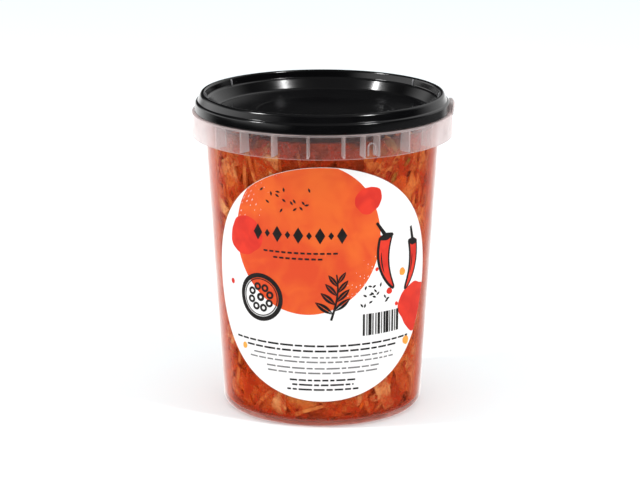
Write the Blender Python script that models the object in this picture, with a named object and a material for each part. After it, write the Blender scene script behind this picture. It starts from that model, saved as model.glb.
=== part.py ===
"""Bucket of kimchi: a clear round tub with a black snap lid, a round label and cabbage inside.

Metres, +Z up. The origin is the centre of the tub's base, on the surface that it stands on.
The label faces -Y. An angle round the tub is measured from the front, positive towards +X.
"""

import math
import random

import bmesh
import bpy

MM = 0.001

# Turned parts
TURN_STEPS = 60
MERGE = 0.00001
FUSED_MERGE = 0.000001
SHARP_ANGLE = math.radians(35)

# Tub: a tapered wall on a foot ring
BASE_RADIUS = 47.0 * MM
WALL_TAPER = 0.059
WALL = 0.9 * MM
FOOT_INNER_RADIUS = 41.0 * MM
FOOT_SLOPE = 0.6 * MM
BASE_PANEL_UNDERSIDE = 1.5 * MM
FLOOR_TOP = 2.7 * MM
CORNER_ROUND = 4.2 * MM
INNER_CORNER_ROUND = 3.3 * MM
CORNER_STEPS = 4

# Tub: the flange, the collar that hangs from it and the rim that carries the lid
FLANGE_TOP = 141.3 * MM
FLANGE_THICKNESS = 0.8 * MM
COLLAR_RADIUS = 61.0 * MM
COLLAR_THICKNESS = 0.8 * MM
COLLAR_FOOT = 130.5 * MM
COLLAR_FLARE = 0.15 * MM
COLLAR_EDGE_ROUND = 0.3 * MM
COLLAR_CLEARANCE = 0.1 * MM
RIM_TOP = 144.8 * MM
RIM_OUTER_RADIUS = 55.6 * MM
RIM_BEAD_RADIUS = 57.0 * MM
RIM_BEAD_BOTTOM = 143.0 * MM
RIM_BEAD_MIDDLE = 143.7 * MM
RIM_BEAD_TOP = 144.3 * MM
RIM_TOP_OUTER_RADIUS = 56.3 * MM

# Tub: upright fins between the wall and the collar
FIN_COUNT = 23
FIN_FIRST_ANGLE = math.radians(-6.3)
FIN_EXTRA_ANGLE = math.radians(18.3)
FIN_THICKNESS = 0.9 * MM
FIN_INNER_RADIUS = 55.45 * MM
FIN_OUTER_RADIUS = 60.6 * MM
FIN_BOTTOM = 130.9 * MM
FIN_TOP = 140.9 * MM

# Tub: the tear tab on the collar's right side
TAB_ANGLE = math.radians(92)
TAB_HALF_WIDTH = math.radians(13)
TAB_THICKNESS = 0.9 * MM
TAB_ROOT_RADIUS = 59.7 * MM
TAB_ROOT = 140.6 * MM
TAB_TOP = 145.2 * MM
TAB_LEAN = 1.6 * MM
TAB_LEAN_POWER = 0.7
TAB_END_HEIGHT = 0.2
TAB_STEPS_ROUND = 10
TAB_STEPS_UP = 3

# Lid: a stepped skirt, a raised rim and a sunken panel
LID_FOOT = 141.65 * MM
LID_TOP = 150.0 * MM
LID_PANEL_TOP = 141.3 * MM
LID_PANEL_UNDERSIDE = 140.4 * MM
LID_SKIRT_FOOT = (59.8 * MM, LID_FOOT)
LID_SKIRT_TOP = (59.4 * MM, 145.7 * MM)
LID_STEP_OUTER = (58.9 * MM, 146.2 * MM)
LID_STEP_INNER = (58.3 * MM, 146.4 * MM)
LID_CREST_SHOULDER = (57.2 * MM, 149.3 * MM)
LID_CREST_OUTER = (56.5 * MM, LID_TOP)
LID_CREST_INNER = (55.4 * MM, LID_TOP)
LID_BAND_TOP = (54.85 * MM, 149.4 * MM)
LID_BAND_FOOT = (54.4 * MM, 146.5 * MM)
LID_LEDGE = (53.6 * MM, 146.05 * MM)
LID_SLOPE_FOOT = (50.6 * MM, 141.8 * MM)
LID_PANEL_EDGE = (49.7 * MM, LID_PANEL_TOP)
LID_UNDER_PANEL_EDGE = (50.2 * MM, LID_PANEL_UNDERSIDE)
LID_UNDER_SLOPE_FOOT = (51.3 * MM, 141.2 * MM)
LID_UNDER_SLOPE_TOP = (54.1 * MM, 145.25 * MM)
LID_UNDER_LEDGE = (55.4 * MM, 145.4 * MM)
LID_GROOVE_INNER = (55.9 * MM, 148.9 * MM)
LID_GROOVE_OUTER = (56.2 * MM, 148.9 * MM)
LID_UNDER_STEP = (57.5 * MM, 145.3 * MM)
LID_INSIDE_TOP = (58.0 * MM, 144.3 * MM)
LID_INSIDE_BOTTOM = (58.0 * MM, 143.6 * MM)
LID_BEAD_TOP = (56.6 * MM, 142.7 * MM)
LID_BEAD_BOTTOM = (56.6 * MM, 142.3 * MM)
LID_INSIDE_FOOT = (58.5 * MM, LID_FOOT)
LID_RING_RADIUS = 32.0 * MM
LID_RING_HALF_WIDTH = 1.4 * MM
LID_RING_HEIGHT = 0.4 * MM
LUG_ANGLES = [math.radians(degrees) for degrees in (-127, -53, 53, 127, -90, 90)]
LUG_WIDTH = 1.0 * MM
LUG_INNER_RADIUS = 53.9 * MM
LUG_OUTER_RADIUS = 55.1 * MM
LUG_BOTTOM = 146.4 * MM
LUG_TOP = 149.3 * MM

# Label: a round sticker wrapped on the wall
LABEL_HALF_ANGLE = math.radians(66)
LABEL_MIDDLE = 69.5 * MM
LABEL_HALF_HEIGHT = 56.2 * MM
LABEL_CLEARANCE = 0.3 * MM
LABEL_THICKNESS = 0.25 * MM
LABEL_COLUMNS = 40

# Kimchi: a core with leaves and strips pressed against the wall
FOOD_SEED = 11
FOOD_CLEARANCE = 0.35 * MM
FOOD_BOTTOM = 3.05 * MM
CORE_DEPTH = 2.3 * MM
CORE_BUMP = 0.5 * MM
CORE_COLUMNS = 30
CORE_RINGS = 8
CORE_SHOULDER = 9.0 * MM
CORE_TOP = 135.0 * MM
CORE_TOP_SWELL = 1.8 * MM
CORE_FOOT_RADIUS = 40.0 * MM
PIECE_LOWEST = 5.5 * MM
PIECE_HIGHEST = 138.2 * MM
PIECE_ROWS = 8
PIECES_A_ROW = 11
PLACE_JITTER = 4.0 * MM
STRIP_EVERY = 3
LABEL_HIDES = 0.82
LEAF_LENGTH = (22.0 * MM, 40.0 * MM)
LEAF_WIDTH = (10.0 * MM, 18.0 * MM)
LEAF_THICKNESS = (1.7 * MM, 2.2 * MM)
LEAF_STEPS = (4, 2)
LEAF_WAVE = 0.9 * MM
LEAF_CUP = 0.5 * MM
LEAF_RIPPLE = (2.0, 4.0)
LEAF_SLANT = 1.6
LEAF_TAPER = (0.1, 0.5)
LEAF_BOW = 0.25
STRIP_LENGTH = (18.0 * MM, 34.0 * MM)
STRIP_SIDE = (2.0 * MM, 2.7 * MM)
STRIP_DEPTH = 0.15 * MM
STRIP_BEND = 0.12
STRIP_STEPS = (4, 1)
END_DIVE = 2.6 * MM


def wall_radius(height):
    """Outer radius of the tub's wall at a height."""
    return BASE_RADIUS + WALL_TAPER * height


def inner_radius(height):
    """Inner radius of the tub's wall at a height."""
    return wall_radius(height) - WALL


def round_about(radius, angle, height):
    """Point at an angle from the front, on a circle about the tub's axis."""
    return (radius * math.sin(angle), -radius * math.cos(angle), height)


def corner_arc(middle, radius, start, end):
    """Points of (radius, height) along an arc from one angle to another, in radians."""
    points = []
    for step in range(CORNER_STEPS + 1):
        angle = start + (end - start) * step / CORNER_STEPS
        points.append((middle[0] + radius * math.cos(angle), middle[1] + radius * math.sin(angle)))
    return points


def finish(name, colour, roughness, transmission=0.0):
    """A Principled material of one colour."""
    material = bpy.data.materials.new(name)
    material.use_nodes = True
    shader = material.node_tree.nodes["Principled BSDF"]
    shader.inputs["Base Color"].default_value = (*colour, 1.0)
    shader.inputs["Roughness"].default_value = roughness
    shader.inputs["Metallic"].default_value = 0.0
    shader.inputs["Transmission Weight"].default_value = transmission
    material.diffuse_color = (*colour, 1.0)
    return material


def object_from(name, work, material, collection=None):
    """Make an object from a bmesh, with its faces pointing out and round parts shaded smooth."""
    bmesh.ops.recalc_face_normals(work, faces=work.faces)
    mesh = bpy.data.meshes.new(name)
    work.to_mesh(mesh)
    work.free()
    mesh.shade_smooth()
    mesh.set_sharp_from_angle(angle=SHARP_ANGLE)
    if material:
        mesh.materials.append(material)
    thing = bpy.data.objects.new(name, mesh)
    (collection or bpy.context.scene.collection).objects.link(thing)
    return thing


def turned(name, outline, material, ring=False):
    """Spin an outline of (radius, height) points, which closes on itself or on the axis."""
    work = bmesh.new()
    points = [work.verts.new((radius, 0.0, height)) for radius, height in outline]
    onward = points[1:] + points[:1] if ring else points[1:]
    edges = [work.edges.new(pair) for pair in zip(points, onward)]
    bmesh.ops.spin(
        work,
        geom=points + edges,
        cent=(0.0, 0.0, 0.0),
        axis=(0.0, 0.0, 1.0),
        angle=2.0 * math.pi,
        steps=TURN_STEPS,
        use_merge=True,
    )
    bmesh.ops.remove_doubles(work, verts=work.verts, dist=MERGE)
    return object_from(name, work, material)


def radial_block(name, angle, width, radii, heights, collection):
    """A block that stands between two radii and two heights, at an angle round the tub."""
    work = bmesh.new()
    bmesh.ops.create_cube(work, size=1.0)
    bmesh.ops.scale(work, vec=(width, radii[1] - radii[0], heights[1] - heights[0]), verts=work.verts)
    middle = (0.0, -0.5 * (radii[0] + radii[1]), 0.5 * (heights[0] + heights[1]))
    bmesh.ops.translate(work, vec=middle, verts=work.verts)
    block = object_from(name, work, None, collection)
    block.rotation_euler = (0.0, 0.0, angle)
    return block


def skin(work, front, back):
    """Close two grids of points, front and back, into one solid with both faces split alike."""
    rows = len(front)
    columns = len(front[0])
    outer = [[work.verts.new(point) for point in row] for row in front]
    inner = [[work.verts.new(point) for point in row] for row in back]
    for row in range(rows - 1):
        for column in range(columns - 1):
            for sheet in (outer, inner):
                low = (sheet[row][column], sheet[row][column + 1])
                high = (sheet[row + 1][column], sheet[row + 1][column + 1])
                work.faces.new((low[0], low[1], high[1]))
                work.faces.new((low[0], high[1], high[0]))
    rim = [(0, column) for column in range(columns)]
    rim += [(row, columns - 1) for row in range(1, rows)]
    rim += [(rows - 1, column) for column in range(columns - 2, -1, -1)]
    rim += [(row, 0) for row in range(rows - 2, 0, -1)]
    for here, after in zip(rim, rim[1:] + rim[:1]):
        work.faces.new(
            (
                outer[here[0]][here[1]],
                outer[after[0]][after[1]],
                inner[after[0]][after[1]],
                inner[here[0]][here[1]],
            )
        )


def keep_largest_island(mesh):
    """Drop sealed hollows and loose scraps, so that one closed body is left."""
    work = bmesh.new()
    work.from_mesh(mesh)
    bmesh.ops.remove_doubles(work, verts=work.verts, dist=FUSED_MERGE)
    unseen = set(work.faces)
    islands = []
    while unseen:
        edge_of_search = [unseen.pop()]
        island = []
        while edge_of_search:
            face = edge_of_search.pop()
            island.append(face)
            neighbours = {other for edge in face.edges for other in edge.link_faces}
            fresh = neighbours & unseen
            unseen -= fresh
            edge_of_search.extend(fresh)
        islands.append(island)
    islands.sort(key=len, reverse=True)
    scraps = [face for island in islands[1:] for face in island]
    bmesh.ops.delete(work, geom=scraps, context="FACES")
    bmesh.ops.triangulate(work, faces=work.faces)
    work.to_mesh(mesh)
    work.free()


def fuse(body, collection):
    """Join everything in a collection to a body with one union, then remove the collection."""
    union = body.modifiers.new("Fused pieces", "BOOLEAN")
    union.operation = "UNION"
    union.operand_type = "COLLECTION"
    union.collection = collection
    union.solver = "EXACT"
    bpy.context.view_layer.update()
    fused = bpy.data.meshes.new_from_object(body.evaluated_get(bpy.context.evaluated_depsgraph_get()))
    body.modifiers.remove(union)
    body.data = fused
    keep_largest_island(fused)
    for thing in list(collection.objects):
        bpy.data.objects.remove(thing, do_unlink=True)
    bpy.data.collections.remove(collection)


def new_collection(name):
    """An empty collection linked to the scene."""
    collection = bpy.data.collections.new(name)
    bpy.context.scene.collection.children.link(collection)
    return collection


def tub_outline():
    """Half section of the tub, from the underside of its base round to the top of its floor."""
    outer_middle = (wall_radius(CORNER_ROUND) - CORNER_ROUND, CORNER_ROUND)
    inner_height = FLOOR_TOP + INNER_CORNER_ROUND
    inner_middle = (inner_radius(inner_height) - INNER_CORNER_ROUND, inner_height)
    outline = [
        (0.0, BASE_PANEL_UNDERSIDE),
        (FOOT_INNER_RADIUS - FOOT_SLOPE, BASE_PANEL_UNDERSIDE),
        (FOOT_INNER_RADIUS, 0.0),
    ]
    outline += corner_arc(outer_middle, CORNER_ROUND, -0.5 * math.pi, 0.0)
    outline += [
        (wall_radius(FLANGE_TOP), FLANGE_TOP),
        (RIM_OUTER_RADIUS, RIM_BEAD_BOTTOM),
        (RIM_BEAD_RADIUS, RIM_BEAD_MIDDLE),
        (RIM_BEAD_RADIUS, RIM_BEAD_TOP),
        (RIM_TOP_OUTER_RADIUS, RIM_TOP),
        (inner_radius(RIM_TOP), RIM_TOP),
    ]
    outline += corner_arc(inner_middle, INNER_CORNER_ROUND, 0.0, -0.5 * math.pi)
    outline.append((0.0, FLOOR_TOP))
    return outline


def tear_tab(collection):
    """A curved tab that rises from the collar, leans out and has rounded ends."""
    front = []
    back = []
    for step in range(TAB_STEPS_ROUND + 1):
        across = 2.0 * step / TAB_STEPS_ROUND - 1.0
        angle = TAB_ANGLE + across * TAB_HALF_WIDTH
        rise = (TAB_TOP - TAB_ROOT) * max(math.sqrt(1.0 - across**4), TAB_END_HEIGHT)
        outer = []
        inner = []
        for level in range(TAB_STEPS_UP + 1):
            up = level / TAB_STEPS_UP
            radius = TAB_ROOT_RADIUS + TAB_LEAN * up**TAB_LEAN_POWER
            height = TAB_ROOT + rise * up
            outer.append(round_about(radius + TAB_THICKNESS, angle, height))
            inner.append(round_about(radius, angle, height))
        front.append(outer)
        back.append(inner)
    work = bmesh.new()
    skin(work, front, back)
    return object_from("tab", work, None, collection)


def collar_outline():
    """Closed half section of the collar: a flange round the wall and the skirt that hangs from it."""
    flange_bottom = FLANGE_TOP - FLANGE_THICKNESS
    collar_inner = COLLAR_RADIUS - COLLAR_THICKNESS
    return [
        (wall_radius(flange_bottom) + COLLAR_CLEARANCE, flange_bottom),
        (collar_inner, flange_bottom),
        (collar_inner + COLLAR_FLARE, COLLAR_FOOT),
        (COLLAR_RADIUS + COLLAR_FLARE, COLLAR_FOOT),
        (COLLAR_RADIUS, FLANGE_TOP - COLLAR_EDGE_ROUND),
        (COLLAR_RADIUS - COLLAR_EDGE_ROUND, FLANGE_TOP),
        (wall_radius(FLANGE_TOP) + COLLAR_CLEARANCE, FLANGE_TOP),
    ]


def make_collar(material):
    """The collar with its fins and its tear tab, a hair clear of the tub's wall."""
    collar = turned("collar", collar_outline(), material, ring=True)
    trim = new_collection("collar trim")
    angles = [FIN_FIRST_ANGLE + 2.0 * math.pi * index / FIN_COUNT for index in range(FIN_COUNT)]
    angles.append(FIN_EXTRA_ANGLE)
    radii = (FIN_INNER_RADIUS, FIN_OUTER_RADIUS)
    for index, angle in enumerate(angles):
        radial_block(f"fin_{index}", angle, FIN_THICKNESS, radii, (FIN_BOTTOM, FIN_TOP), trim)
    tear_tab(trim)
    fuse(collar, trim)
    return collar


def lid_outline():
    """Half section of the lid, from the underside of its panel round to the top of it.

    The underside climbs over the tub's rim, with a snap bead below the rim's own bead.
    """
    ring_inner = LID_RING_RADIUS - LID_RING_HALF_WIDTH
    ring_outer = LID_RING_RADIUS + LID_RING_HALF_WIDTH
    return [
        (0.0, LID_PANEL_UNDERSIDE),
        LID_UNDER_PANEL_EDGE,
        LID_UNDER_SLOPE_FOOT,
        LID_UNDER_SLOPE_TOP,
        LID_UNDER_LEDGE,
        LID_GROOVE_INNER,
        LID_GROOVE_OUTER,
        LID_UNDER_STEP,
        LID_INSIDE_TOP,
        LID_INSIDE_BOTTOM,
        LID_BEAD_TOP,
        LID_BEAD_BOTTOM,
        LID_INSIDE_FOOT,
        LID_SKIRT_FOOT,
        LID_SKIRT_TOP,
        LID_STEP_OUTER,
        LID_STEP_INNER,
        LID_CREST_SHOULDER,
        LID_CREST_OUTER,
        LID_CREST_INNER,
        LID_BAND_TOP,
        LID_BAND_FOOT,
        LID_LEDGE,
        LID_SLOPE_FOOT,
        LID_PANEL_EDGE,
        (ring_outer, LID_PANEL_TOP),
        (LID_RING_RADIUS, LID_PANEL_TOP + LID_RING_HEIGHT),
        (ring_inner, LID_PANEL_TOP),
        (0.0, LID_PANEL_TOP),
    ]


def make_lid(material):
    """The black lid with small lugs inside its raised rim."""
    lid = turned("lid", lid_outline(), material)
    lugs = new_collection("lid lugs")
    radii = (LUG_INNER_RADIUS, LUG_OUTER_RADIUS)
    for index, angle in enumerate(LUG_ANGLES):
        radial_block(f"lug_{index}", angle, LUG_WIDTH, radii, (LUG_BOTTOM, LUG_TOP), lugs)
    fuse(lid, lugs)
    return lid


def make_label(material):
    """The round label: upright columns of the wall, cut off by an ellipse of angle and height."""
    front = []
    back = []
    for column in range(LABEL_COLUMNS + 1):
        turn = math.pi * column / LABEL_COLUMNS
        angle = -LABEL_HALF_ANGLE * math.cos(turn)
        reach = LABEL_HALF_HEIGHT * math.sin(turn)
        outer = []
        inner = []
        for side in (-1.0, 1.0):
            height = LABEL_MIDDLE + side * reach
            radius = wall_radius(height) + LABEL_CLEARANCE
            outer.append(round_about(radius + LABEL_THICKNESS, angle, height))
            inner.append(round_about(radius, angle, height))
        front.append(outer)
        back.append(inner)
    work = bmesh.new()
    skin(work, front, back)
    bmesh.ops.remove_doubles(work, verts=work.verts, dist=MERGE)
    return object_from("label", work, material)


def food_point(angle, height, depth):
    """Point at a depth below the surface that the food presses against."""
    level = max(height, FOOD_BOTTOM)
    radius = inner_radius(level) - FOOD_CLEARANCE - depth
    return round_about(radius, angle, level)


def make_core(material):
    """The heap's bumpy core, with a slanted foot and an uneven top.

    Crossed sine waves, a few to the turn, give the wall its bumps and the top its high and low
    stretches.
    """
    rows = []
    for ring in range(CORE_RINGS + 1):
        share = ring / CORE_RINGS
        row = []
        for column in range(CORE_COLUMNS):
            angle = 2.0 * math.pi * column / CORE_COLUMNS
            bump = CORE_BUMP * math.sin(5.0 * angle + 7.0 * share) * math.cos(3.0 * angle - 11.0 * share)
            top = CORE_TOP + CORE_TOP_SWELL * math.sin(3.0 * angle + 0.7) * math.cos(2.0 * angle)
            height = CORE_SHOULDER + (top - CORE_SHOULDER) * share
            row.append(food_point(angle, height, CORE_DEPTH + bump))
        rows.append(row)
    foot = [
        round_about(CORE_FOOT_RADIUS, 2.0 * math.pi * column / CORE_COLUMNS, FOOD_BOTTOM)
        for column in range(CORE_COLUMNS)
    ]
    rows.insert(0, foot)
    work = bmesh.new()
    grid = [[work.verts.new(point) for point in row] for row in rows]
    floor_middle = work.verts.new((0.0, 0.0, FOOD_BOTTOM))
    top_middle = work.verts.new((0.0, 0.0, CORE_TOP))
    for lower, upper in zip(grid, grid[1:]):
        for column in range(CORE_COLUMNS):
            after = (column + 1) % CORE_COLUMNS
            work.faces.new((lower[column], lower[after], upper[after], upper[column]))
    for column in range(CORE_COLUMNS):
        after = (column + 1) % CORE_COLUMNS
        work.faces.new((grid[0][after], grid[0][column], floor_middle))
        work.faces.new((grid[-1][column], grid[-1][after], top_middle))
    return object_from("kimchi", work, material)


def places_on_wall(draw):
    """Places in staggered rows round the wall, leaving out those that the label hides."""
    places = []
    for row in range(PIECE_ROWS):
        level = PIECE_LOWEST + (PIECE_HIGHEST - PIECE_LOWEST) * (row + 0.5) / PIECE_ROWS
        for index in range(PIECES_A_ROW):
            angle = 2.0 * math.pi * (index + 0.5 * (row % 2)) / PIECES_A_ROW - math.pi
            angle += draw.uniform(-PLACE_JITTER, PLACE_JITTER) / inner_radius(level)
            height = level + draw.uniform(-PLACE_JITTER, PLACE_JITTER)
            sideways = angle / LABEL_HALF_ANGLE
            upright = (height - LABEL_MIDDLE) / LABEL_HALF_HEIGHT
            if math.hypot(sideways, upright) > LABEL_HIDES:
                places.append((angle, height))
    return places


def piece_on_wall(name, place, turn, steps, outline, depths, collection):
    """A closed piece that lies on the wall at a place, turned about the wall's normal.

    outline(along, across) gives a point's run and rise before the turn, and depths(along, across)
    the depths of its front and back. along and across go from -1 to 1. A piece that would reach
    past the highest or lowest level is moved down or up as a whole.
    """
    grid = []
    for step in range(steps[0] + 1):
        along = 2.0 * step / steps[0] - 1.0
        row = []
        for line in range(steps[1] + 1):
            across = 2.0 * line / steps[1] - 1.0
            reach, aside = outline(along, across)
            run = reach * math.cos(turn) - aside * math.sin(turn)
            rise = reach * math.sin(turn) + aside * math.cos(turn)
            row.append((run, rise, *depths(along, across)))
        grid.append(row)
    rises = [point[1] for row in grid for point in row]
    middle = min(max(place[1], PIECE_LOWEST - min(rises)), PIECE_HIGHEST - max(rises))
    front = []
    back = []
    for row in grid:
        outer = []
        inner = []
        for run, rise, front_depth, back_depth in row:
            height = middle + rise
            angle = place[0] + run / inner_radius(height)
            outer.append(food_point(angle, height, front_depth))
            inner.append(food_point(angle, height, back_depth))
        front.append(outer)
        back.append(inner)
    work = bmesh.new()
    skin(work, front, back)
    return object_from(name, work, None, collection)


def make_leaf(name, place, draw, collection):
    """A thin wavy piece of leaf that rises from the core, lies on the wall and dives back."""
    length = draw.uniform(*LEAF_LENGTH)
    width = draw.uniform(*LEAF_WIDTH)
    thickness = draw.uniform(*LEAF_THICKNESS)
    turn = draw.uniform(-math.pi, math.pi)
    ripple = draw.uniform(*LEAF_RIPPLE)
    phase = draw.uniform(0.0, 2.0 * math.pi)
    taper = draw.uniform(*LEAF_TAPER)
    bow = draw.uniform(-LEAF_BOW, LEAF_BOW) * width

    def outline(along, across):
        return 0.5 * along * length, 0.5 * across * width * (1.0 - taper * along**2) + bow * along**2

    def depths(along, across):
        wave = 0.5 + 0.5 * math.sin(ripple * along + LEAF_SLANT * across + phase)
        depth = LEAF_WAVE * wave + END_DIVE * along**4 + LEAF_CUP * across**2
        return depth, depth + thickness

    return piece_on_wall(name, place, turn, LEAF_STEPS, outline, depths, collection)


def make_strip(name, place, draw, collection):
    """A square strip of radish or carrot, bent round the wall, with both ends in the core."""
    length = draw.uniform(*STRIP_LENGTH)
    side = draw.uniform(*STRIP_SIDE)
    turn = draw.uniform(-math.pi, math.pi)
    bend = draw.uniform(-STRIP_BEND, STRIP_BEND) * length

    def outline(along, across):
        return 0.5 * along * length, 0.5 * across * side + bend * along**2

    def depths(along, across):
        depth = STRIP_DEPTH + END_DIVE * along**4
        return depth, depth + side

    return piece_on_wall(name, place, turn, STRIP_STEPS, outline, depths, collection)


def make_kimchi(material):
    """The heap that fills the tub: the core with the leaves and strips that show fused on."""
    draw = random.Random(FOOD_SEED)
    kimchi = make_core(material)
    pieces = new_collection("kimchi pieces")
    for index, place in enumerate(places_on_wall(draw)):
        if index % STRIP_EVERY == STRIP_EVERY - 1:
            make_strip(f"strip_{index}", place, draw, pieces)
        else:
            make_leaf(f"leaf_{index}", place, draw, pieces)
    fuse(kimchi, pieces)
    return kimchi


def main():
    """Clear the scene and build the five parts."""
    for thing in list(bpy.data.objects):
        bpy.data.objects.remove(thing, do_unlink=True)
    turned("tub", tub_outline(), finish("clear plastic", (0.90, 0.87, 0.86), 0.15, transmission=0.9))
    make_collar(finish("milky plastic", (0.90, 0.87, 0.86), 0.25, transmission=0.7))
    make_lid(finish("black plastic", (0.010, 0.010, 0.012), 0.25))
    make_label(finish("printed label", (0.93, 0.90, 0.88), 0.40))
    make_kimchi(finish("kimchi", (0.44, 0.06, 0.012), 0.35))


main()
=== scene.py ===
"""Looks of the bucket of kimchi: clear plastic, black lid, printed label and the food inside."""

import logging
import math
from dataclasses import dataclass, field
from enum import Enum

import bmesh
import bpy
import numpy as np
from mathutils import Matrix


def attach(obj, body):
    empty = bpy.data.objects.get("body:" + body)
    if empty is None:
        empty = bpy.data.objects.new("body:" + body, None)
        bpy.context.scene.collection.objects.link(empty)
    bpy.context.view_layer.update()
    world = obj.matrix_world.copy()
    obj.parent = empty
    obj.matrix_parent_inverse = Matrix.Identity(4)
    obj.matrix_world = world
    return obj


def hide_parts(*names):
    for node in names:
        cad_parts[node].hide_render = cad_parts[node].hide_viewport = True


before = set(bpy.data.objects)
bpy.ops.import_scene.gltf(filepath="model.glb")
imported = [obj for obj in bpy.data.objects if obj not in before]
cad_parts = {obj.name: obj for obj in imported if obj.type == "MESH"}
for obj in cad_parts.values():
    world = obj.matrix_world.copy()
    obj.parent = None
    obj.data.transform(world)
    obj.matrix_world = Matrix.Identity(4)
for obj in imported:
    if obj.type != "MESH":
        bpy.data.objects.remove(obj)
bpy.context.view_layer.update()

log = logging.getLogger("kimchi")

MM = 0.001
Colour = tuple[float, float, float, float]
Pair = tuple[float, float]
Ramp = tuple[float, float, float, float]
Draw = np.random.Generator
Material = bpy.types.Material
Node = bpy.types.Node
Object = bpy.types.Object
Socket = bpy.types.NodeSocket
Tree = bpy.types.NodeTree


def ink(red: int, green: int, blue: int) -> Colour:
    """Turn display values of 0 to 255 into a linear colour.

    Args:
        red: Red as a screen shows it.
        green: Green as a screen shows it.
        blue: Blue as a screen shows it.

    Returns:
        Linear red, green, blue and an alpha of 1.
    """
    shown = np.array([red, green, blue]) / 255.0
    linear = np.where(shown <= 0.04045, shown / 12.92, ((shown + 0.055) / 1.055) ** 2.4)
    return (*(float(value) for value in linear), 1.0)


SAUCE_RED = ink(206, 72, 20)
# Dark red of the deepest food: thick sauce, with painted shade of the hollows between pieces.
SAUCE_AND_PAINTED_SHADE = ink(116, 28, 10)
# Painted glow: the food's colour painted on the clear tub's thick foot, standing in for the food's light
# carried through the plastic.
PAINTED_FOOT_GLOW = ink(200, 88, 60)
IMMERSED_GLOSS = 0.06


class Wiring:
    """Adds nodes to a tree and joins them."""

    def __init__(self, tree: Tree) -> None:
        """Keep the tree that the nodes go into."""
        self.tree = tree

    def feed(self, node: Node, values: dict) -> None:
        """Fill a node's inputs.

        Args:
            node: The node.
            values: A socket to join or a fixed value for each input, by its name or number.
        """
        for name, value in values.items():
            if isinstance(value, Socket):
                self.tree.links.new(value, node.inputs[name])
            else:
                node.inputs[name].default_value = value

    def add(self, kind: str, values: dict | None = None, **settings: object) -> Node:
        """Add one node.

        Args:
            kind: Blender's name for the node's type.
            values: A socket or a fixed value for its inputs, by name or number.
            settings: Values for the node's own properties.

        Returns:
            The new node.
        """
        node = self.tree.nodes.new(kind)
        for name, value in settings.items():
            setattr(node, name, value)
        self.feed(node, values or {})
        return node

    def maths(self, operation: str, first: object, second: object = 0.0, clamp: bool = False) -> Socket:
        """Work on two numbers or sockets, and hold the result between 0 and 1 if clamp is set."""
        node = self.add("ShaderNodeMath", {0: first, 1: second}, operation=operation, use_clamp=clamp)
        return node.outputs[0]

    def blend(self, share: object, first: object, second: object) -> Socket:
        """Mix two colours or their sockets; the share is that of the second."""
        return self.add("ShaderNodeMix", {0: share, 6: first, 7: second}, data_type="RGBA").outputs[2]

    def noise(self, place: Socket, scale: object, detail: float = 2.0, twist: float = 0.0) -> Socket:
        """Value of a noise texture, about 0.5 on average."""
        values = {"Vector": place, "Scale": scale, "Detail": detail, "Distortion": twist}
        return self.add("ShaderNodeTexNoise", values).outputs[0]

    def spread(self, value: Socket, low: float, high: float, first: float = 0.0, last: float = 1.0) -> Socket:
        """Stretch a value smoothly from low..high onto first..last."""
        values = {0: value, 1: low, 2: high, 3: first, 4: last}
        return self.add("ShaderNodeMapRange", values, interpolation_type="SMOOTHSTEP").outputs[0]

    def split(self, place: Socket) -> list[Socket]:
        """Separate a place or direction into its three coordinates."""
        return list(self.add("ShaderNodeSeparateXYZ", {0: place}).outputs)

    def use(self, group: Tree, **values: object) -> Socket:
        """Place a node group with its inputs filled, and give its output."""
        return self.add("ShaderNodeGroup", values, node_tree=group).outputs[0]


def new_group(name: str, output: str, **numbers: float) -> tuple[Tree, Wiring, dict, Node]:
    """Start a shader node group that takes a place and some numbers and puts out one number.

    Args:
        name: The group's name.
        output: Name of its output.
        numbers: First value of each number that it takes.

    Returns:
        The group, its wiring, its inputs' sockets by name and its output node.
    """
    group = bpy.data.node_groups.new(name, "ShaderNodeTree")
    group.interface.new_socket("Place", in_out="INPUT", socket_type="NodeSocketVector")
    for label, value in numbers.items():
        socket = group.interface.new_socket(label, in_out="INPUT", socket_type="NodeSocketFloat")
        socket.default_value = value
    group.interface.new_socket(output, in_out="OUTPUT", socket_type="NodeSocketFloat")
    wiring = Wiring(group)
    return group, wiring, wiring.add("NodeGroupInput").outputs, wiring.add("NodeGroupOutput")


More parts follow.
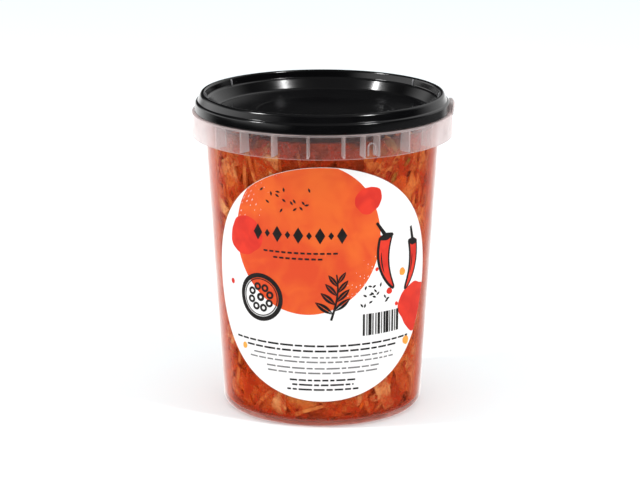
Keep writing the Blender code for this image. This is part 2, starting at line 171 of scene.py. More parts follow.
@dataclass(frozen=True)
class SharedEffects:
    """Node groups that more than one material uses."""

    mottle: Tree
    wall_depth: Tree
    ripple: Tree

    @staticmethod
    def make_mottle() -> Tree:
        """Blotches of two sizes: one noise, and a second one three times finer, averaged."""
        group, wiring, given, result = new_group("Mottle", "Mask", Scale=100.0)
        scales = [wiring.maths("MULTIPLY", given["Scale"], factor) for factor in (1.0, 3.1)]
        masks = [wiring.noise(given["Place"], scale, 2.0, 0.6) for scale in scales]
        average = wiring.maths("MULTIPLY", wiring.maths("ADD", *masks), 0.5)
        wiring.feed(result, {"Mask": wiring.spread(average, 0.36, 0.64)})
        return group

    @staticmethod
    def make_wall_depth(wall: "Wall") -> Tree:
        """Depth below the wall's inner face, as a share of a reach.

        The depth is the inner face's radius at a point's height less the point's distance from
        the axis.

        Args:
            wall: The tub's wall.

        Returns:
            The group.
        """
        group, wiring, given, result = new_group("Depth below the wall", "Share", Reach=3.0 * MM)
        across, along, up = wiring.split(given["Place"])
        squares = [wiring.maths("MULTIPLY", way, way) for way in (across, along)]
        distance = wiring.maths("SQRT", wiring.maths("ADD", *squares))
        slope = wiring.maths("MULTIPLY", up, wall.taper)
        face = wiring.maths("ADD", slope, wall.base_radius - wall.thickness)
        depth = wiring.maths("SUBTRACT", face, distance)
        wiring.feed(result, {"Share": wiring.maths("DIVIDE", depth, given["Reach"], clamp=True)})
        return group

    @staticmethod
    def make_ripple() -> Tree:
        """Faint waviness of moulded plastic or film: a broad noise and a trace of a fine one."""
        group, wiring, given, result = new_group("Moulding ripple", "Height", Wide=40.0, Fine=900.0)
        wide, fine = (wiring.noise(given["Place"], given[label], 1.0) for label in ("Wide", "Fine"))
        wiring.feed(result, {"Height": wiring.maths("ADD", wide, wiring.maths("MULTIPLY", fine, 0.12))})
        return group

    @classmethod
    def made_for(cls, wall: "Wall") -> "SharedEffects":
        """Build the three groups for a tub's wall."""
        return cls(cls.make_mottle(), cls.make_wall_depth(wall), cls.make_ripple())


class Surface(Wiring):
    """A new material with its Principled shader and its Object coordinates."""

    def __init__(self, name: str, effects: SharedEffects | None = None) -> None:
        """Start the material.

        Args:
            name: The material's name.
            effects: The shared node groups, where it uses any.
        """
        self.material = bpy.data.materials.new(name)
        self.material.use_nodes = True
        super().__init__(self.material.node_tree)
        self.effects = effects
        self.shader = self.tree.nodes["Principled BSDF"]
        self.place = self.add("ShaderNodeTexCoord").outputs["Object"]

    def blotches(self, scale: float) -> Socket:
        """Mask of the shared blotches at a scale."""
        return self.use(self.effects.mottle, Place=self.place, Scale=scale)

    def facing(self) -> Socket:
        """One less the cosine of the angle that the surface is seen at, the same from both sides."""
        return self.add("ShaderNodeLayerWeight", {"Blend": 0.5}).outputs["Facing"]

    def bumped(self, height: Socket, strength: float) -> Socket:
        """Normal of a bump one millimetre high."""
        values = {"Height": height, "Strength": strength, "Distance": MM}
        return self.add("ShaderNodeBump", values).outputs["Normal"]

    def rippled(self, strength: float) -> Socket:
        """Normal of the shared waviness."""
        return self.bumped(self.use(self.effects.ripple, Place=self.place), strength)

    def let_lamps_through(self, shader: Node, tint: tuple[float, float, float]) -> None:
        """Put a shader on the surface that lamps shine through.

        Args:
            shader: What is seen.
            tint: Colour that light keeps when it passes.
        """
        clear = self.add("ShaderNodeBsdfTransparent", {"Color": (*tint, 1.0)})
        shadow = self.add("ShaderNodeLightPath").outputs["Is Shadow Ray"]
        swap = self.add("ShaderNodeMixShader", {0: shadow, 1: shader.outputs[0], 2: clear.outputs[0]})
        self.feed(self.tree.nodes["Material Output"], {"Surface": swap.outputs[0]})


@dataclass(frozen=True)
class ClearPlastic:
    """Clear plastic with a milky bloom that thickens where it is seen edge on."""

    name: str
    bloom: Colour
    cover: Pair
    edge: Pair
    roughness: float
    shade: float
    painted_glow_cover: float = 0.0
    painted_glow: Colour = PAINTED_FOOT_GLOW
    painted_glow_heights: Pair = (1.5 * MM, 5.0 * MM)
    cloud_scale: float = 70.0
    gloss: Pair = (0.02, 0.15)

    def made(self, effects: SharedEffects) -> Material:
        """Build the material.

        The bloom covers a small share of what lies behind a face seen from the front, and most
        of it at a glancing angle. The thick foot gets a painted glow in the food's colour: painted
        light standing in for the food's light carried through the plastic. Gloss comes on top: its
        share is the first gloss value plus the second one times the fifth power of one less the
        cosine of the angle.

        Args:
            effects: The shared node groups.

        Returns:
            The material.
        """
        surface = Surface(self.name, effects)
        # Painted glow: at low heights the foot mask blends the base colour to the food's colour and raises
        # the alpha.
        foot = surface.spread(surface.split(surface.place)[2], *self.painted_glow_heights, 1.0, 0.0)
        facing = surface.facing()
        cloud = surface.spread(surface.noise(surface.place, self.cloud_scale), 0.3, 0.7, 0.8, 1.15)
        cover = surface.spread(facing, *self.edge, *self.cover)
        clouded = surface.maths("MULTIPLY", cover, cloud, clamp=True)
        painted_glowing = surface.maths("MULTIPLY", foot, self.painted_glow_cover)
        surface.feed(surface.shader, {
            "Base Color": surface.blend(foot, self.bloom, self.painted_glow),
            "Roughness": self.roughness,
            "Specular IOR Level": 0.3,
            "Alpha": surface.maths("MAXIMUM", clouded, painted_glowing),
        })
        values = {"Roughness": self.roughness, "Normal": surface.rippled(0.05)}
        gloss = surface.add("ShaderNodeBsdfAnisotropic", values)
        rise = surface.maths("MULTIPLY", surface.maths("POWER", facing, 5.0), self.gloss[1])
        share = surface.maths("ADD", rise, self.gloss[0])
        layers = {0: share, 1: surface.shader.outputs[0], 2: gloss.outputs[0]}
        surface.let_lamps_through(surface.add("ShaderNodeMixShader", layers), (self.shade,) * 3)
        return surface.material


@dataclass(frozen=True)
class BlackPlastic:
    """Glossy black plastic with a trace of flow marks."""

    name: str
    colour: Colour
    roughness: Pair
    patch_scale: float = 60.0
    patch_gain: float = 1.6

    def made(self, effects: SharedEffects) -> Material:
        """Build the material: its gloss and shade vary a little in broad patches.

        Args:
            effects: The shared node groups.

        Returns:
            The material.
        """
        surface = Surface(self.name, effects)
        patch = surface.noise(surface.place, self.patch_scale)
        paler = (*(self.patch_gain * value for value in self.colour[:3]), 1.0)
        surface.feed(surface.shader, {
            "Base Color": surface.blend(patch, self.colour, paler),
            "Roughness": surface.spread(patch, 0.3, 0.7, *self.roughness),
            "Specular IOR Level": 0.5,
            "Normal": surface.rippled(0.03),
        })
        return surface.material


@dataclass(frozen=True)
class PrintedInk:
    """Printed film or ink: two near colours in soft brushy patches."""

    name: str
    colour: Colour
    patch_colour: Colour
    patch_scale: float
    roughness: float = 0.45

    def made(self, effects: SharedEffects) -> Material:
        """Build the material.

        Args:
            effects: The shared node groups.

        Returns:
            The material.
        """
        surface = Surface(self.name, effects)
        surface.feed(surface.shader, {
            "Base Color": surface.blend(surface.blotches(self.patch_scale), self.colour, self.patch_colour),
            "Roughness": self.roughness,
            "Specular IOR Level": 0.35,
            "Normal": surface.rippled(0.04),
        })
        return surface.material


@dataclass(frozen=True)
class Food:
    """A kind of food in red sauce, without gloss of its own: the deeper, the redder and darker, the darkening
    partly painted shade of the hollows.
    """

    name: str
    pale: Colour
    deep: Colour
    stain: float
    reach: float
    grain: float
    sauce: Colour = SAUCE_RED
    dark: Colour = SAUCE_AND_PAINTED_SHADE
    roughness: float = 0.42

    def made(self, effects: SharedEffects) -> Material:
        """Build the material.

        The piece's own two colours are mixed by its blotches and its tone. Sauce covers the stained
        share and whatever lies deep, and the deepest is dark: partly thick sauce, partly painted shade
        of the hollows between the pieces.

        Args:
            effects: The shared node groups.

        Returns:
            The material.
        """
        surface = Surface(self.name, effects)
        mottle = surface.blotches(self.grain)
        depth = surface.use(effects.wall_depth, Place=surface.place, Reach=self.reach)
        tone = surface.add("ShaderNodeAttribute", attribute_name="tone").outputs["Fac"]
        own = surface.blend(surface.maths("MULTIPLY", mottle, tone), self.pale, self.deep)
        smear = surface.noise(surface.place, 0.45 * self.grain, 3.0, 0.8)
        stained = surface.spread(surface.maths("ADD", smear, self.stain - 0.5), 0.3, 0.75)
        covered = surface.maths("MAXIMUM", stained, surface.maths("MULTIPLY", depth, 1.3, clamp=True))
        wet = surface.blend(covered, own, self.sauce)
        surface.feed(surface.shader, {
            # Painted shade: the deepest share blends to the dark red, partly thick sauce and partly painted
            # shade of the hollows.
            "Base Color": surface.blend(surface.spread(depth, 0.45, 1.0), wet, self.dark),
            "Roughness": self.roughness,
            "Specular IOR Level": IMMERSED_GLOSS,
            "Normal": surface.bumped(mottle, 0.25),
        })
        return surface.material


@dataclass(frozen=True)
class SauceFilm:
    """Red sauce against the wall: thick in some patches, thin over the pieces in others."""

    name: str
    colour: Colour
    rich_colour: Colour
    cover: Pair
    edge: Pair = (0.5, 0.8)
    fine_scale: float = 130.0
    broad_scale: float = 55.0
    roughness: float = 0.35

    def made(self, effects: SharedEffects) -> Material:
        """Build the material.

        Blotches set both the colour and how much shows through. Seen edge on, the sauce hides
        all that lies behind it.

        Args:
            effects: The shared node groups.

        Returns:
            The material.
        """
        surface = Surface(self.name, effects)
        mottle = surface.blotches(self.fine_scale)
        broad = surface.noise(surface.place, self.broad_scale, 3.0, 1.2)
        thick = surface.maths("MULTIPLY", surface.maths("ADD", broad, mottle), 0.5)
        patchy = surface.spread(thick, 0.25, 0.8, *self.cover)
        surface.feed(surface.shader, {
            "Base Color": surface.blend(mottle, self.colour, self.rich_colour),
            "Roughness": self.roughness,
            "Specular IOR Level": IMMERSED_GLOSS,
            "Alpha": surface.maths("MAXIMUM", patchy, surface.spread(surface.facing(), *self.edge)),
        })
        surface.let_lamps_through(surface.shader, (0.97, 0.93, 0.9))
        return surface.material


def grid_quads(rows: int, columns: int, close_rows: bool = False, close_columns: bool = False) -> np.ndarray:
    """Corners of the quads between neighbouring points of a grid.

    Args:
        rows: Points down the grid.
        columns: Points across it.
        close_rows: Whether the last row joins the first.
        close_columns: Whether the last column joins the first.

    Returns:
        Four point numbers for each quad.
    """
    down = np.arange(rows if close_rows else rows - 1)[:, None]
    over = np.arange(columns if close_columns else columns - 1)[None, :]
    below = (down + 1) % rows
    after = (over + 1) % columns
    corners = (down * columns + over, down * columns + after, below * columns + after, below * columns + over)
    return np.stack(np.broadcast_arrays(*corners), axis=-1).reshape(-1, 4)


@dataclass
class Shape:
    """Points, quads and triangles of one or more closed bodies, with a tone for each point."""

    points: np.ndarray
    quads: np.ndarray
    triangles: np.ndarray = field(default_factory=lambda: np.zeros((0, 3), int))
    tones: np.ndarray | None = None

    @staticmethod
    def joined(shapes: list["Shape"]) -> "Shape":
        """Put several shapes into one, with their point numbers moved on.

        Args:
            shapes: The shapes, without tones.

        Returns:
            The one shape.
        """
        starts = np.cumsum([0] + [len(shape.points) for shape in shapes[:-1]])
        return Shape(
            np.concatenate([shape.points for shape in shapes]),
            np.concatenate([shape.quads + start for shape, start in zip(shapes, starts)]),
            np.concatenate([shape.triangles + start for shape, start in zip(shapes, starts)]),
        )

    def built(self, name: str, finish: Material, sharp: float = 40.0) -> Object:
        """Make the object, with its faces turned outwards and smooth but for its sharp edges.

        Args:
            name: The object's name.
            finish: Its material.
            sharp: Angle in degrees above which an edge stays sharp.

        Returns:
            The new object.
        """
        mesh = bpy.data.meshes.new(name)
        loops = np.concatenate([self.quads.ravel(), self.triangles.ravel()])
        sizes = np.concatenate([np.full(len(self.quads), 4), np.full(len(self.triangles), 3)])
        starts = np.concatenate([[0], np.cumsum(sizes)[:-1]])
        mesh.vertices.add(len(self.points))
        mesh.vertices.foreach_set("co", self.points.astype(np.float32).ravel())
        mesh.loops.add(len(loops))
        mesh.loops.foreach_set("vertex_index", loops.astype(np.int32))
        mesh.polygons.add(len(sizes))
        mesh.polygons.foreach_set("loop_start", starts.astype(np.int32))
        if self.tones is not None:
            tone = mesh.attributes.new("tone", "FLOAT", "POINT")
            tone.data.foreach_set("value", self.tones.astype(np.float32))
        mesh.update(calc_edges=True)
        mesh.validate()
        work = bmesh.new()
        work.from_mesh(mesh)
        bmesh.ops.recalc_face_normals(work, faces=work.faces)
        work.to_mesh(mesh)
        work.free()
        mesh.shade_smooth()
        mesh.set_sharp_from_angle(angle=math.radians(sharp))
        mesh.materials.append(finish)
        piece = bpy.data.objects.new(name, mesh)
        bpy.context.scene.collection.objects.link(piece)
        return piece


def dress(piece: Object, node: str) -> None:
    """Fix a piece to the part: attach it to its body, hide the node that it stands for and log its size.

    Args:
        piece: The finished piece.
        node: The CAD node that the piece replaces, whose material slot has the same name.
    """
    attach(piece, "root")
    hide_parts(node)
    triangles = sum(len(face.vertices) - 2 for face in piece.data.polygons)
    log.info("%s: %d triangles, stands for %s", piece.name, triangles, node)


def placed(radius: np.ndarray, angle: np.ndarray, height: np.ndarray) -> np.ndarray:
    """Points at a radius from the axis, an angle from the front and a height."""
    return np.stack(np.broadcast_arrays(radius * np.sin(angle), -radius * np.cos(angle), height), axis=-1)


def full_turn(steps: int) -> np.ndarray:
    """Angles of equal steps once round."""
    return np.linspace(0.0, 2.0 * math.pi, steps, endpoint=False)


def corner_arc(middle: Pair, radius: float, steps: int) -> np.ndarray:
    """Points of a quarter circle in a half section, from below its middle to beside it."""
    turn = np.linspace(-0.5 * math.pi, 0.0, steps)
    return np.stack([middle[0] + radius * np.cos(turn), middle[1] + radius * np.sin(turn)], axis=1)


def rounded(corners: list[Pair], radius: float, steps: int = 5) -> np.ndarray:
    """Round the corners of an open outline.

    Each inner corner becomes a parabola from a point before it to a point after it, both at the
    radius or at 0.45 of the shorter neighbouring side.

    Args:
        corners: Radius and height of each corner.
        radius: How far from a corner its round starts.
        steps: Stretches in each round.

    Returns:
        The rounded outline's points.
    """
    path = np.array(corners, float)
    corner = path[1:-1]
    before = path[:-2] - corner
    after = path[2:] - corner
    lengths = [np.linalg.norm(side, axis=1, keepdims=True) for side in (before, after)]
    cut = np.minimum(radius, 0.45 * np.minimum(*lengths))
    starts = (corner + before / lengths[0] * cut)[:, None]
    ends = (corner + after / lengths[1] * cut)[:, None]
    share = np.linspace(0.0, 1.0, steps + 1)[None, :, None]
    curves = (1 - share) ** 2 * starts + 2 * share * (1 - share) * corner[:, None] + share**2 * ends
    return np.concatenate([path[:1], curves.reshape(-1, 2), path[-1:]])


def closed_at_poles(rings: np.ndarray, poles: Pair) -> Shape:
    """Close a stack of rings with a fan to a pole on the axis at either end.

    Args:
        rings: Points, as rings by points round by 3.
        poles: Height of the pole before the first ring and of the one after the last.

    Returns:
        The closed body.
    """
    count, steps = rings.shape[:2]
    around = np.arange(steps)
    onward = (around + 1) % steps
    last = (count - 1) * steps
    pole = np.full(steps, count * steps)
    fans = [(pole, onward, around), (pole + 1, last + around, last + onward)]
    points = np.concatenate([rings.reshape(-1, 3), [(0.0, 0.0, height) for height in poles]])
    triangles = np.concatenate([np.stack(fan, axis=1) for fan in fans])
    return Shape(points, grid_quads(count, steps, close_columns=True), triangles)


def turned(outline: np.ndarray, steps: int) -> Shape:
    """Turn an outline about Z: each point goes round a circle of its own radius and height.

    Args:
        outline: Radius and height of each point, from the axis round to the axis.
        steps: Points round a circle.

    Returns:
        A closed body with a fan at each pole.
    """
    rings = placed(outline[1:-1, :1], full_turn(steps), outline[1:-1, 1:])
    return closed_at_poles(rings, (outline[0, 1], outline[-1, 1]))


def between_sheets(
    front: np.ndarray, back: np.ndarray, ring: bool = False, tones: np.ndarray | None = None
) -> Shape:
    """Close pairs of grids into solids: both sheets and a band of quads round their edges.

    Args:
        front: Points of the front sheets, as pieces by rows by columns by 3.
        back: Points of the back sheets, the same way.
        ring: Whether each piece's last row joins its first.
        tones: One tone for each piece.

    Returns:
        All the pieces as one shape.
    """
    pieces, rows, columns = front.shape[:3]
    grid = grid_quads(rows, columns, close_rows=ring)
    numbers = np.arange(rows * columns).reshape(rows, columns)
    if ring:
        edges = [np.append(numbers[:, 0], numbers[0, 0]), np.append(numbers[::-1, -1], numbers[-1, -1])]
    else:
        loop = np.concatenate([numbers[0, :], numbers[1:, -1], numbers[-1, -2::-1], numbers[-2:0:-1, 0]])
        edges = [np.append(loop, loop[0])]
    count = rows * columns
    bands = [np.stack([edge[:-1], edge[:-1] + count, edge[1:] + count, edge[1:]], axis=1) for edge in edges]
    quads = np.concatenate([grid, grid[:, ::-1] + count, *bands])
    starts = (np.arange(pieces) * 2 * count)[:, None, None]
    points = np.concatenate([front.reshape(pieces, count, 3), back.reshape(pieces, count, 3)], axis=1)
    spread_tones = None if tones is None else np.repeat(tones, 2 * count)
    return Shape(points.reshape(-1, 3), (quads[None] + starts).reshape(-1, 4), tones=spread_tones)


@dataclass(frozen=True)
class Wall:
    """The tub's tapered wall, which the label and the food follow."""

    base_radius: float = 47.0 * MM
    taper: float = 0.059
    thickness: float = 0.9 * MM
    floor_top: float = 2.7 * MM
    corner_round: float = 3.3 * MM

    @property
    def corner_top(self) -> float:
        """Height at which the rounded corner above the floor ends."""
        return self.floor_top + self.corner_round

    def outer(self, height: np.ndarray | float) -> np.ndarray | float:
        """Radius of the outer face: the base radius plus the taper times the height."""
        return self.base_radius + self.taper * height

    def inner(self, height: np.ndarray | float) -> np.ndarray | float:
        """Radius of the inner face: the outer one less the wall's thickness."""
        return self.outer(height) - self.thickness

    def inside(self, height: np.ndarray) -> np.ndarray:
        """Inner radius that also follows the rounded corner above the floor.

        Below the corner's top, the radius shrinks by the corner's radius less the height of a
        quarter circle over it.

        Args:
            height: Heights of the points.

        Returns:
            The radius at each height.
        """
        lack = np.clip(self.corner_top - height, 0.0, self.corner_round)
        return self.inner(height) - self.corner_round + np.sqrt(self.corner_round**2 - lack**2)


@dataclass
class Tub:
    """The clear tub: foot ring, floor, wall and rim."""

    wall: Wall
    steps: int = 240
    base_underside: float = 1.5 * MM
    foot_inner_radius: float = 41.0 * MM
    foot_slope: float = 0.6 * MM
    outer_corner_round: float = 4.2 * MM
    flange_top: float = 141.3 * MM
    rim_outer_radius: float = 55.6 * MM
    rim_bead_radius: float = 57.0 * MM
    rim_bead_heights: tuple[float, float, float] = (143.0 * MM, 143.7 * MM, 144.3 * MM)
    rim_top: float = 144.8 * MM
    rim_top_outer_radius: float = 56.3 * MM
    rim_lip: float = 2.0 * MM
    edge_round: float = 0.3 * MM

    def outline(self) -> np.ndarray:
        """Half section from the underside of the base round to the top of the floor."""
        wall = self.wall
        outer_round = self.outer_corner_round
        outer_arc = corner_arc((wall.outer(outer_round) - outer_round, outer_round), outer_round, 13)
        inner_middle = (wall.inner(wall.corner_top) - wall.corner_round, wall.corner_top)
        inner_arc = corner_arc(inner_middle, wall.corner_round, 13)
        foot = rounded([
            (0.0, self.base_underside), (self.foot_inner_radius - self.foot_slope, self.base_underside),
            (self.foot_inner_radius, 0.0), tuple(outer_arc[0]),
        ], self.edge_round, 3)
        heights = np.linspace(outer_round, self.flange_top, 24)[1:-1]
        side = np.stack([wall.outer(heights), heights], axis=1)
        lip_foot = self.rim_top - self.rim_lip
        low, middle, high = self.rim_bead_heights
        top = rounded([
            tuple(side[-1]), (wall.outer(self.flange_top), self.flange_top), (self.rim_outer_radius, low),
            (self.rim_bead_radius, middle), (self.rim_bead_radius, high),
            (self.rim_top_outer_radius, self.rim_top), (wall.inner(self.rim_top), self.rim_top),
            (wall.inner(lip_foot), lip_foot),
        ], self.edge_round, 4)
        inside_heights = np.linspace(lip_foot, wall.corner_top, 24)[1:-1]
        inside = np.stack([wall.inner(inside_heights), inside_heights], axis=1)
        floor = np.array([(0.0, wall.floor_top)])
        return np.concatenate([foot[:-1], outer_arc, side[:-1], top, inside, inner_arc[::-1], floor])

    def build(self, finish: Material) -> None:
        """Turn the outline."""
        dress(turned(self.outline(), self.steps).built("tub_shell", finish), "tub")


@dataclass
class Collar:
    """The collar round the tub's top: flange, skirt, fins, small arch and tear tab."""

    wall: Wall
    steps: int = 240
    flange_top: float = 141.3 * MM
    flange_thickness: float = 0.8 * MM
    collar_radius: float = 61.0 * MM
    collar_thickness: float = 0.8 * MM
    collar_foot: float = 130.5 * MM
    collar_flare: float = 0.13 * MM
    collar_bead: float = 0.02 * MM
    clearance: float = 0.1 * MM
    edge_round: float = 0.3 * MM
    fin_count: int = 23
    fin_first_angle: float = math.radians(-6.3)
    fin_extra_angle: float = math.radians(18.3)
    fin_thickness: float = 0.9 * MM
    fin_sink: float = 0.15 * MM
    fin_foot: float = 130.8 * MM
    arch_angle: float = math.radians(21.6)
    arch_radius: float = 1.7 * MM
    arch_foot: float = 131.5 * MM
    arch_spring: float = 135.4 * MM
    arch_wire: float = 0.28 * MM
    arch_depths: Pair = (0.5 * MM, -0.2 * MM)
    tab_angle: float = math.radians(92)
    tab_half_width: float = math.radians(13)
    tab_thickness: float = 0.9 * MM
    tab_root_radius: float = 59.7 * MM
    tab_root: float = 140.6 * MM
    tab_top: float = 145.2 * MM
    tab_lean: float = 1.6 * MM

    def outline(self) -> np.ndarray:
        """Closed half section: the flange from the wall outwards and the skirt below its edge."""
        bottom = self.flange_top - self.flange_thickness
        inner = self.collar_radius - self.collar_thickness
        flared = self.collar_radius + self.collar_flare
        middle = 0.5 * (self.wall.outer(bottom) + self.collar_radius)
        return rounded([
            (middle, self.flange_top), (self.wall.outer(self.flange_top) + self.clearance, self.flange_top),
            (self.wall.outer(bottom) + self.clearance, bottom), (inner, bottom),
            (inner + self.collar_flare, self.collar_foot), (flared + self.collar_bead, self.collar_foot),
            (flared, self.collar_foot + 4.0 * self.collar_bead), (self.collar_radius, self.flange_top),
            (middle, self.flange_top),
        ], self.edge_round, 4)[:-1]

    def ring(self) -> Shape:
        """Turn the closed outline: each point goes round a circle, and the last row joins the first."""
        outline = self.outline()
        points = placed(outline[:, :1], full_turn(self.steps), outline[:, 1:]).reshape(-1, 3)
        return Shape(points, grid_quads(len(outline), self.steps, close_rows=True, close_columns=True))

    def fins(self) -> Shape:
        """Upright plates from the wall to the collar, all worked out as one array of angles.

        Each plate is a front and a back sheet at half its thickness to either side of its angle.
        """
        turns = self.fin_first_angle + full_turn(self.fin_count)
        angles = np.append(turns, self.fin_extra_angle)[:, None, None]
        top = self.flange_top - self.flange_thickness + self.fin_sink
        heights = np.linspace(self.fin_foot, top, 6)[:, None]
        inner = self.wall.outer(heights) - self.fin_sink
        outer = self.collar_radius - self.collar_thickness + self.fin_sink
        radius = (inner + (outer - inner) * np.linspace(0.0, 1.0, 4))[None]
        shifts = (side * self.fin_thickness / radius for side in (-0.5, 0.5))
        return between_sheets(*(placed(radius, angles + shift, heights) for shift in shifts))

    def arch(self) -> Shape:
        """A small raised arch on the collar's inner face: two legs and a half circle of thin wire.

        The path runs up a leg, round the half circle and down. The wire is a band as wide to
        either side of the path, with one sheet inside the collar's face and one behind it.
        """
        turn = np.linspace(math.pi, 0.0, 17)
        leg = np.linspace(self.arch_foot, self.arch_spring, 5)[:-1]
        ends = np.full(4, self.arch_radius)
        aside = np.concatenate([-ends, self.arch_radius * np.cos(turn), ends])
        height = np.concatenate([leg, self.arch_spring + self.arch_radius * np.sin(turn), leg[::-1]])
        along = np.stack([np.gradient(aside), np.gradient(height)], axis=1)
        along /= np.linalg.norm(along, axis=1, keepdims=True)
        width = self.arch_wire * np.array([-1.0, 1.0])[None, :]
        over = aside[:, None] - along[:, 1:] * width
        up = height[:, None] + along[:, :1] * width
        face = self.collar_radius - self.collar_thickness
        radii = (face - depth for depth in self.arch_depths)
        sheets = (placed(radius, self.arch_angle + over / radius, up)[None] for radius in radii)
        return between_sheets(*sheets)

    def tab(self) -> Shape:
        """The tear tab: its radius grows with the height's power of 0.7, its ends fall off roundly."""
        across = np.linspace(-1.0, 1.0, 41)[:, None]
        up = np.linspace(0.0, 1.0, 10)[None, :]
        fall = np.maximum(np.sqrt(np.clip(1.0 - across**4, 0.0, 1.0)), 0.2)
        angle = self.tab_angle + across * self.tab_half_width
        height = self.tab_root + (self.tab_top - self.tab_root) * fall * up
        radius = self.tab_root_radius + self.tab_lean * up**0.7
        lip = self.tab_thickness * (1.0 - 0.5 * np.clip((up - 0.8) / 0.2, 0.0, 1.0) ** 2)
        return between_sheets(placed(radius + lip, angle, height)[None], placed(radius, angle, height)[None])

    def build(self, finish: Material, fin_finish: Material) -> None:
        """Make the ring as one piece, and the fins with the arch and the tab as another.

        Args:
            finish: Finish of the ring.
            fin_finish: Finish of the fins, the arch and the tab.
        """
        dress(self.ring().built("tub_collar", finish), "collar")
        fins = Shape.joined([self.fins(), self.arch(), self.tab()])
        dress(fins.built("tub_fins", fin_finish), "collar")


@dataclass
class Lid:
    """The black lid: stepped skirt, raised rim, sunken panel and small lugs.

    The corners are radii and heights in millimetres, from the underside round to the panel.
    """

    steps: int = 240
    corners: tuple[Pair, ...] = (
        (0.0, 140.4), (50.2, 140.4), (51.3, 141.2), (54.1, 145.25), (55.4, 145.4), (55.9, 148.9),
        (56.2, 148.9), (57.5, 145.3), (58.0, 144.3), (58.0, 143.6), (56.6, 142.7), (56.6, 142.3),
        (58.5, 141.65), (59.8, 141.65), (59.4, 145.7), (58.9, 146.2), (58.3, 146.4), (57.2, 149.3),
        (56.5, 150.0), (55.4, 150.0), (54.85, 149.4), (54.4, 146.5), (53.6, 146.05), (50.6, 141.8),
        (49.7, 141.3), (33.6, 141.3), (32.7, 141.52), (31.3, 141.52), (30.4, 141.3), (0.0, 141.3),
    )
    corner_round: float = 0.4 * MM
    sharp_angle: float = 60.0
    lug_angles: tuple[float, ...] = (-127.0, -53.0, 53.0, 127.0, -90.0, 90.0)
    lug_width: float = 1.0 * MM
    lug_heights: Pair = (146.4 * MM, 149.4 * MM)
    lug_proud: float = 0.55 * MM
    lug_sink: float = 0.3 * MM
    band_radii: Pair = (54.4 * MM, 54.85 * MM)

    def lugs(self) -> Shape:
        """Small ribs on the band inside the rim: an ellipse of the width, carried up the band.

        Each end of a rib falls off by the root of one less the sixth power of the share along it.
        """
        heights = np.linspace(*self.lug_heights, 7)[None, :, None]
        band = np.linspace(*self.band_radii, 7)[None, :, None]
        across = np.linspace(-1.0, 1.0, 9)[None, None, :]
        proud = self.lug_proud * np.sqrt(1.0 - (0.98 * across) ** 2)
        fall = np.sqrt(1.0 - (0.98 * np.linspace(-1.0, 1.0, 7)) ** 6)[None, :, None]
        angle = np.radians(self.lug_angles)[:, None, None] + 0.5 * self.lug_width * across / band
        return between_sheets(
            placed(band - proud * fall, angle, heights), placed(band + self.lug_sink, angle, heights)
        )

    def build(self, finish: Material, lug_finish: Material) -> None:
        """Turn the outline with every corner rounded, and add the lugs.

        Args:
            finish: Finish of the lid.
            lug_finish: Finish of the lugs.
        """
        outline = rounded([(radius * MM, height * MM) for radius, height in self.corners], self.corner_round)
        dress(turned(outline, self.steps).built("lid_shell", finish, self.sharp_angle), "lid")
        dress(self.lugs().built("lid_lugs", lug_finish, self.sharp_angle), "lid")


class InkLayer(Enum):
    """The colours printed on the label, each with the height of its layer above the film."""

    ORANGE = 0
    RED = 1
    YELLOW = 2
    GREY = 3
    BLACK = 4


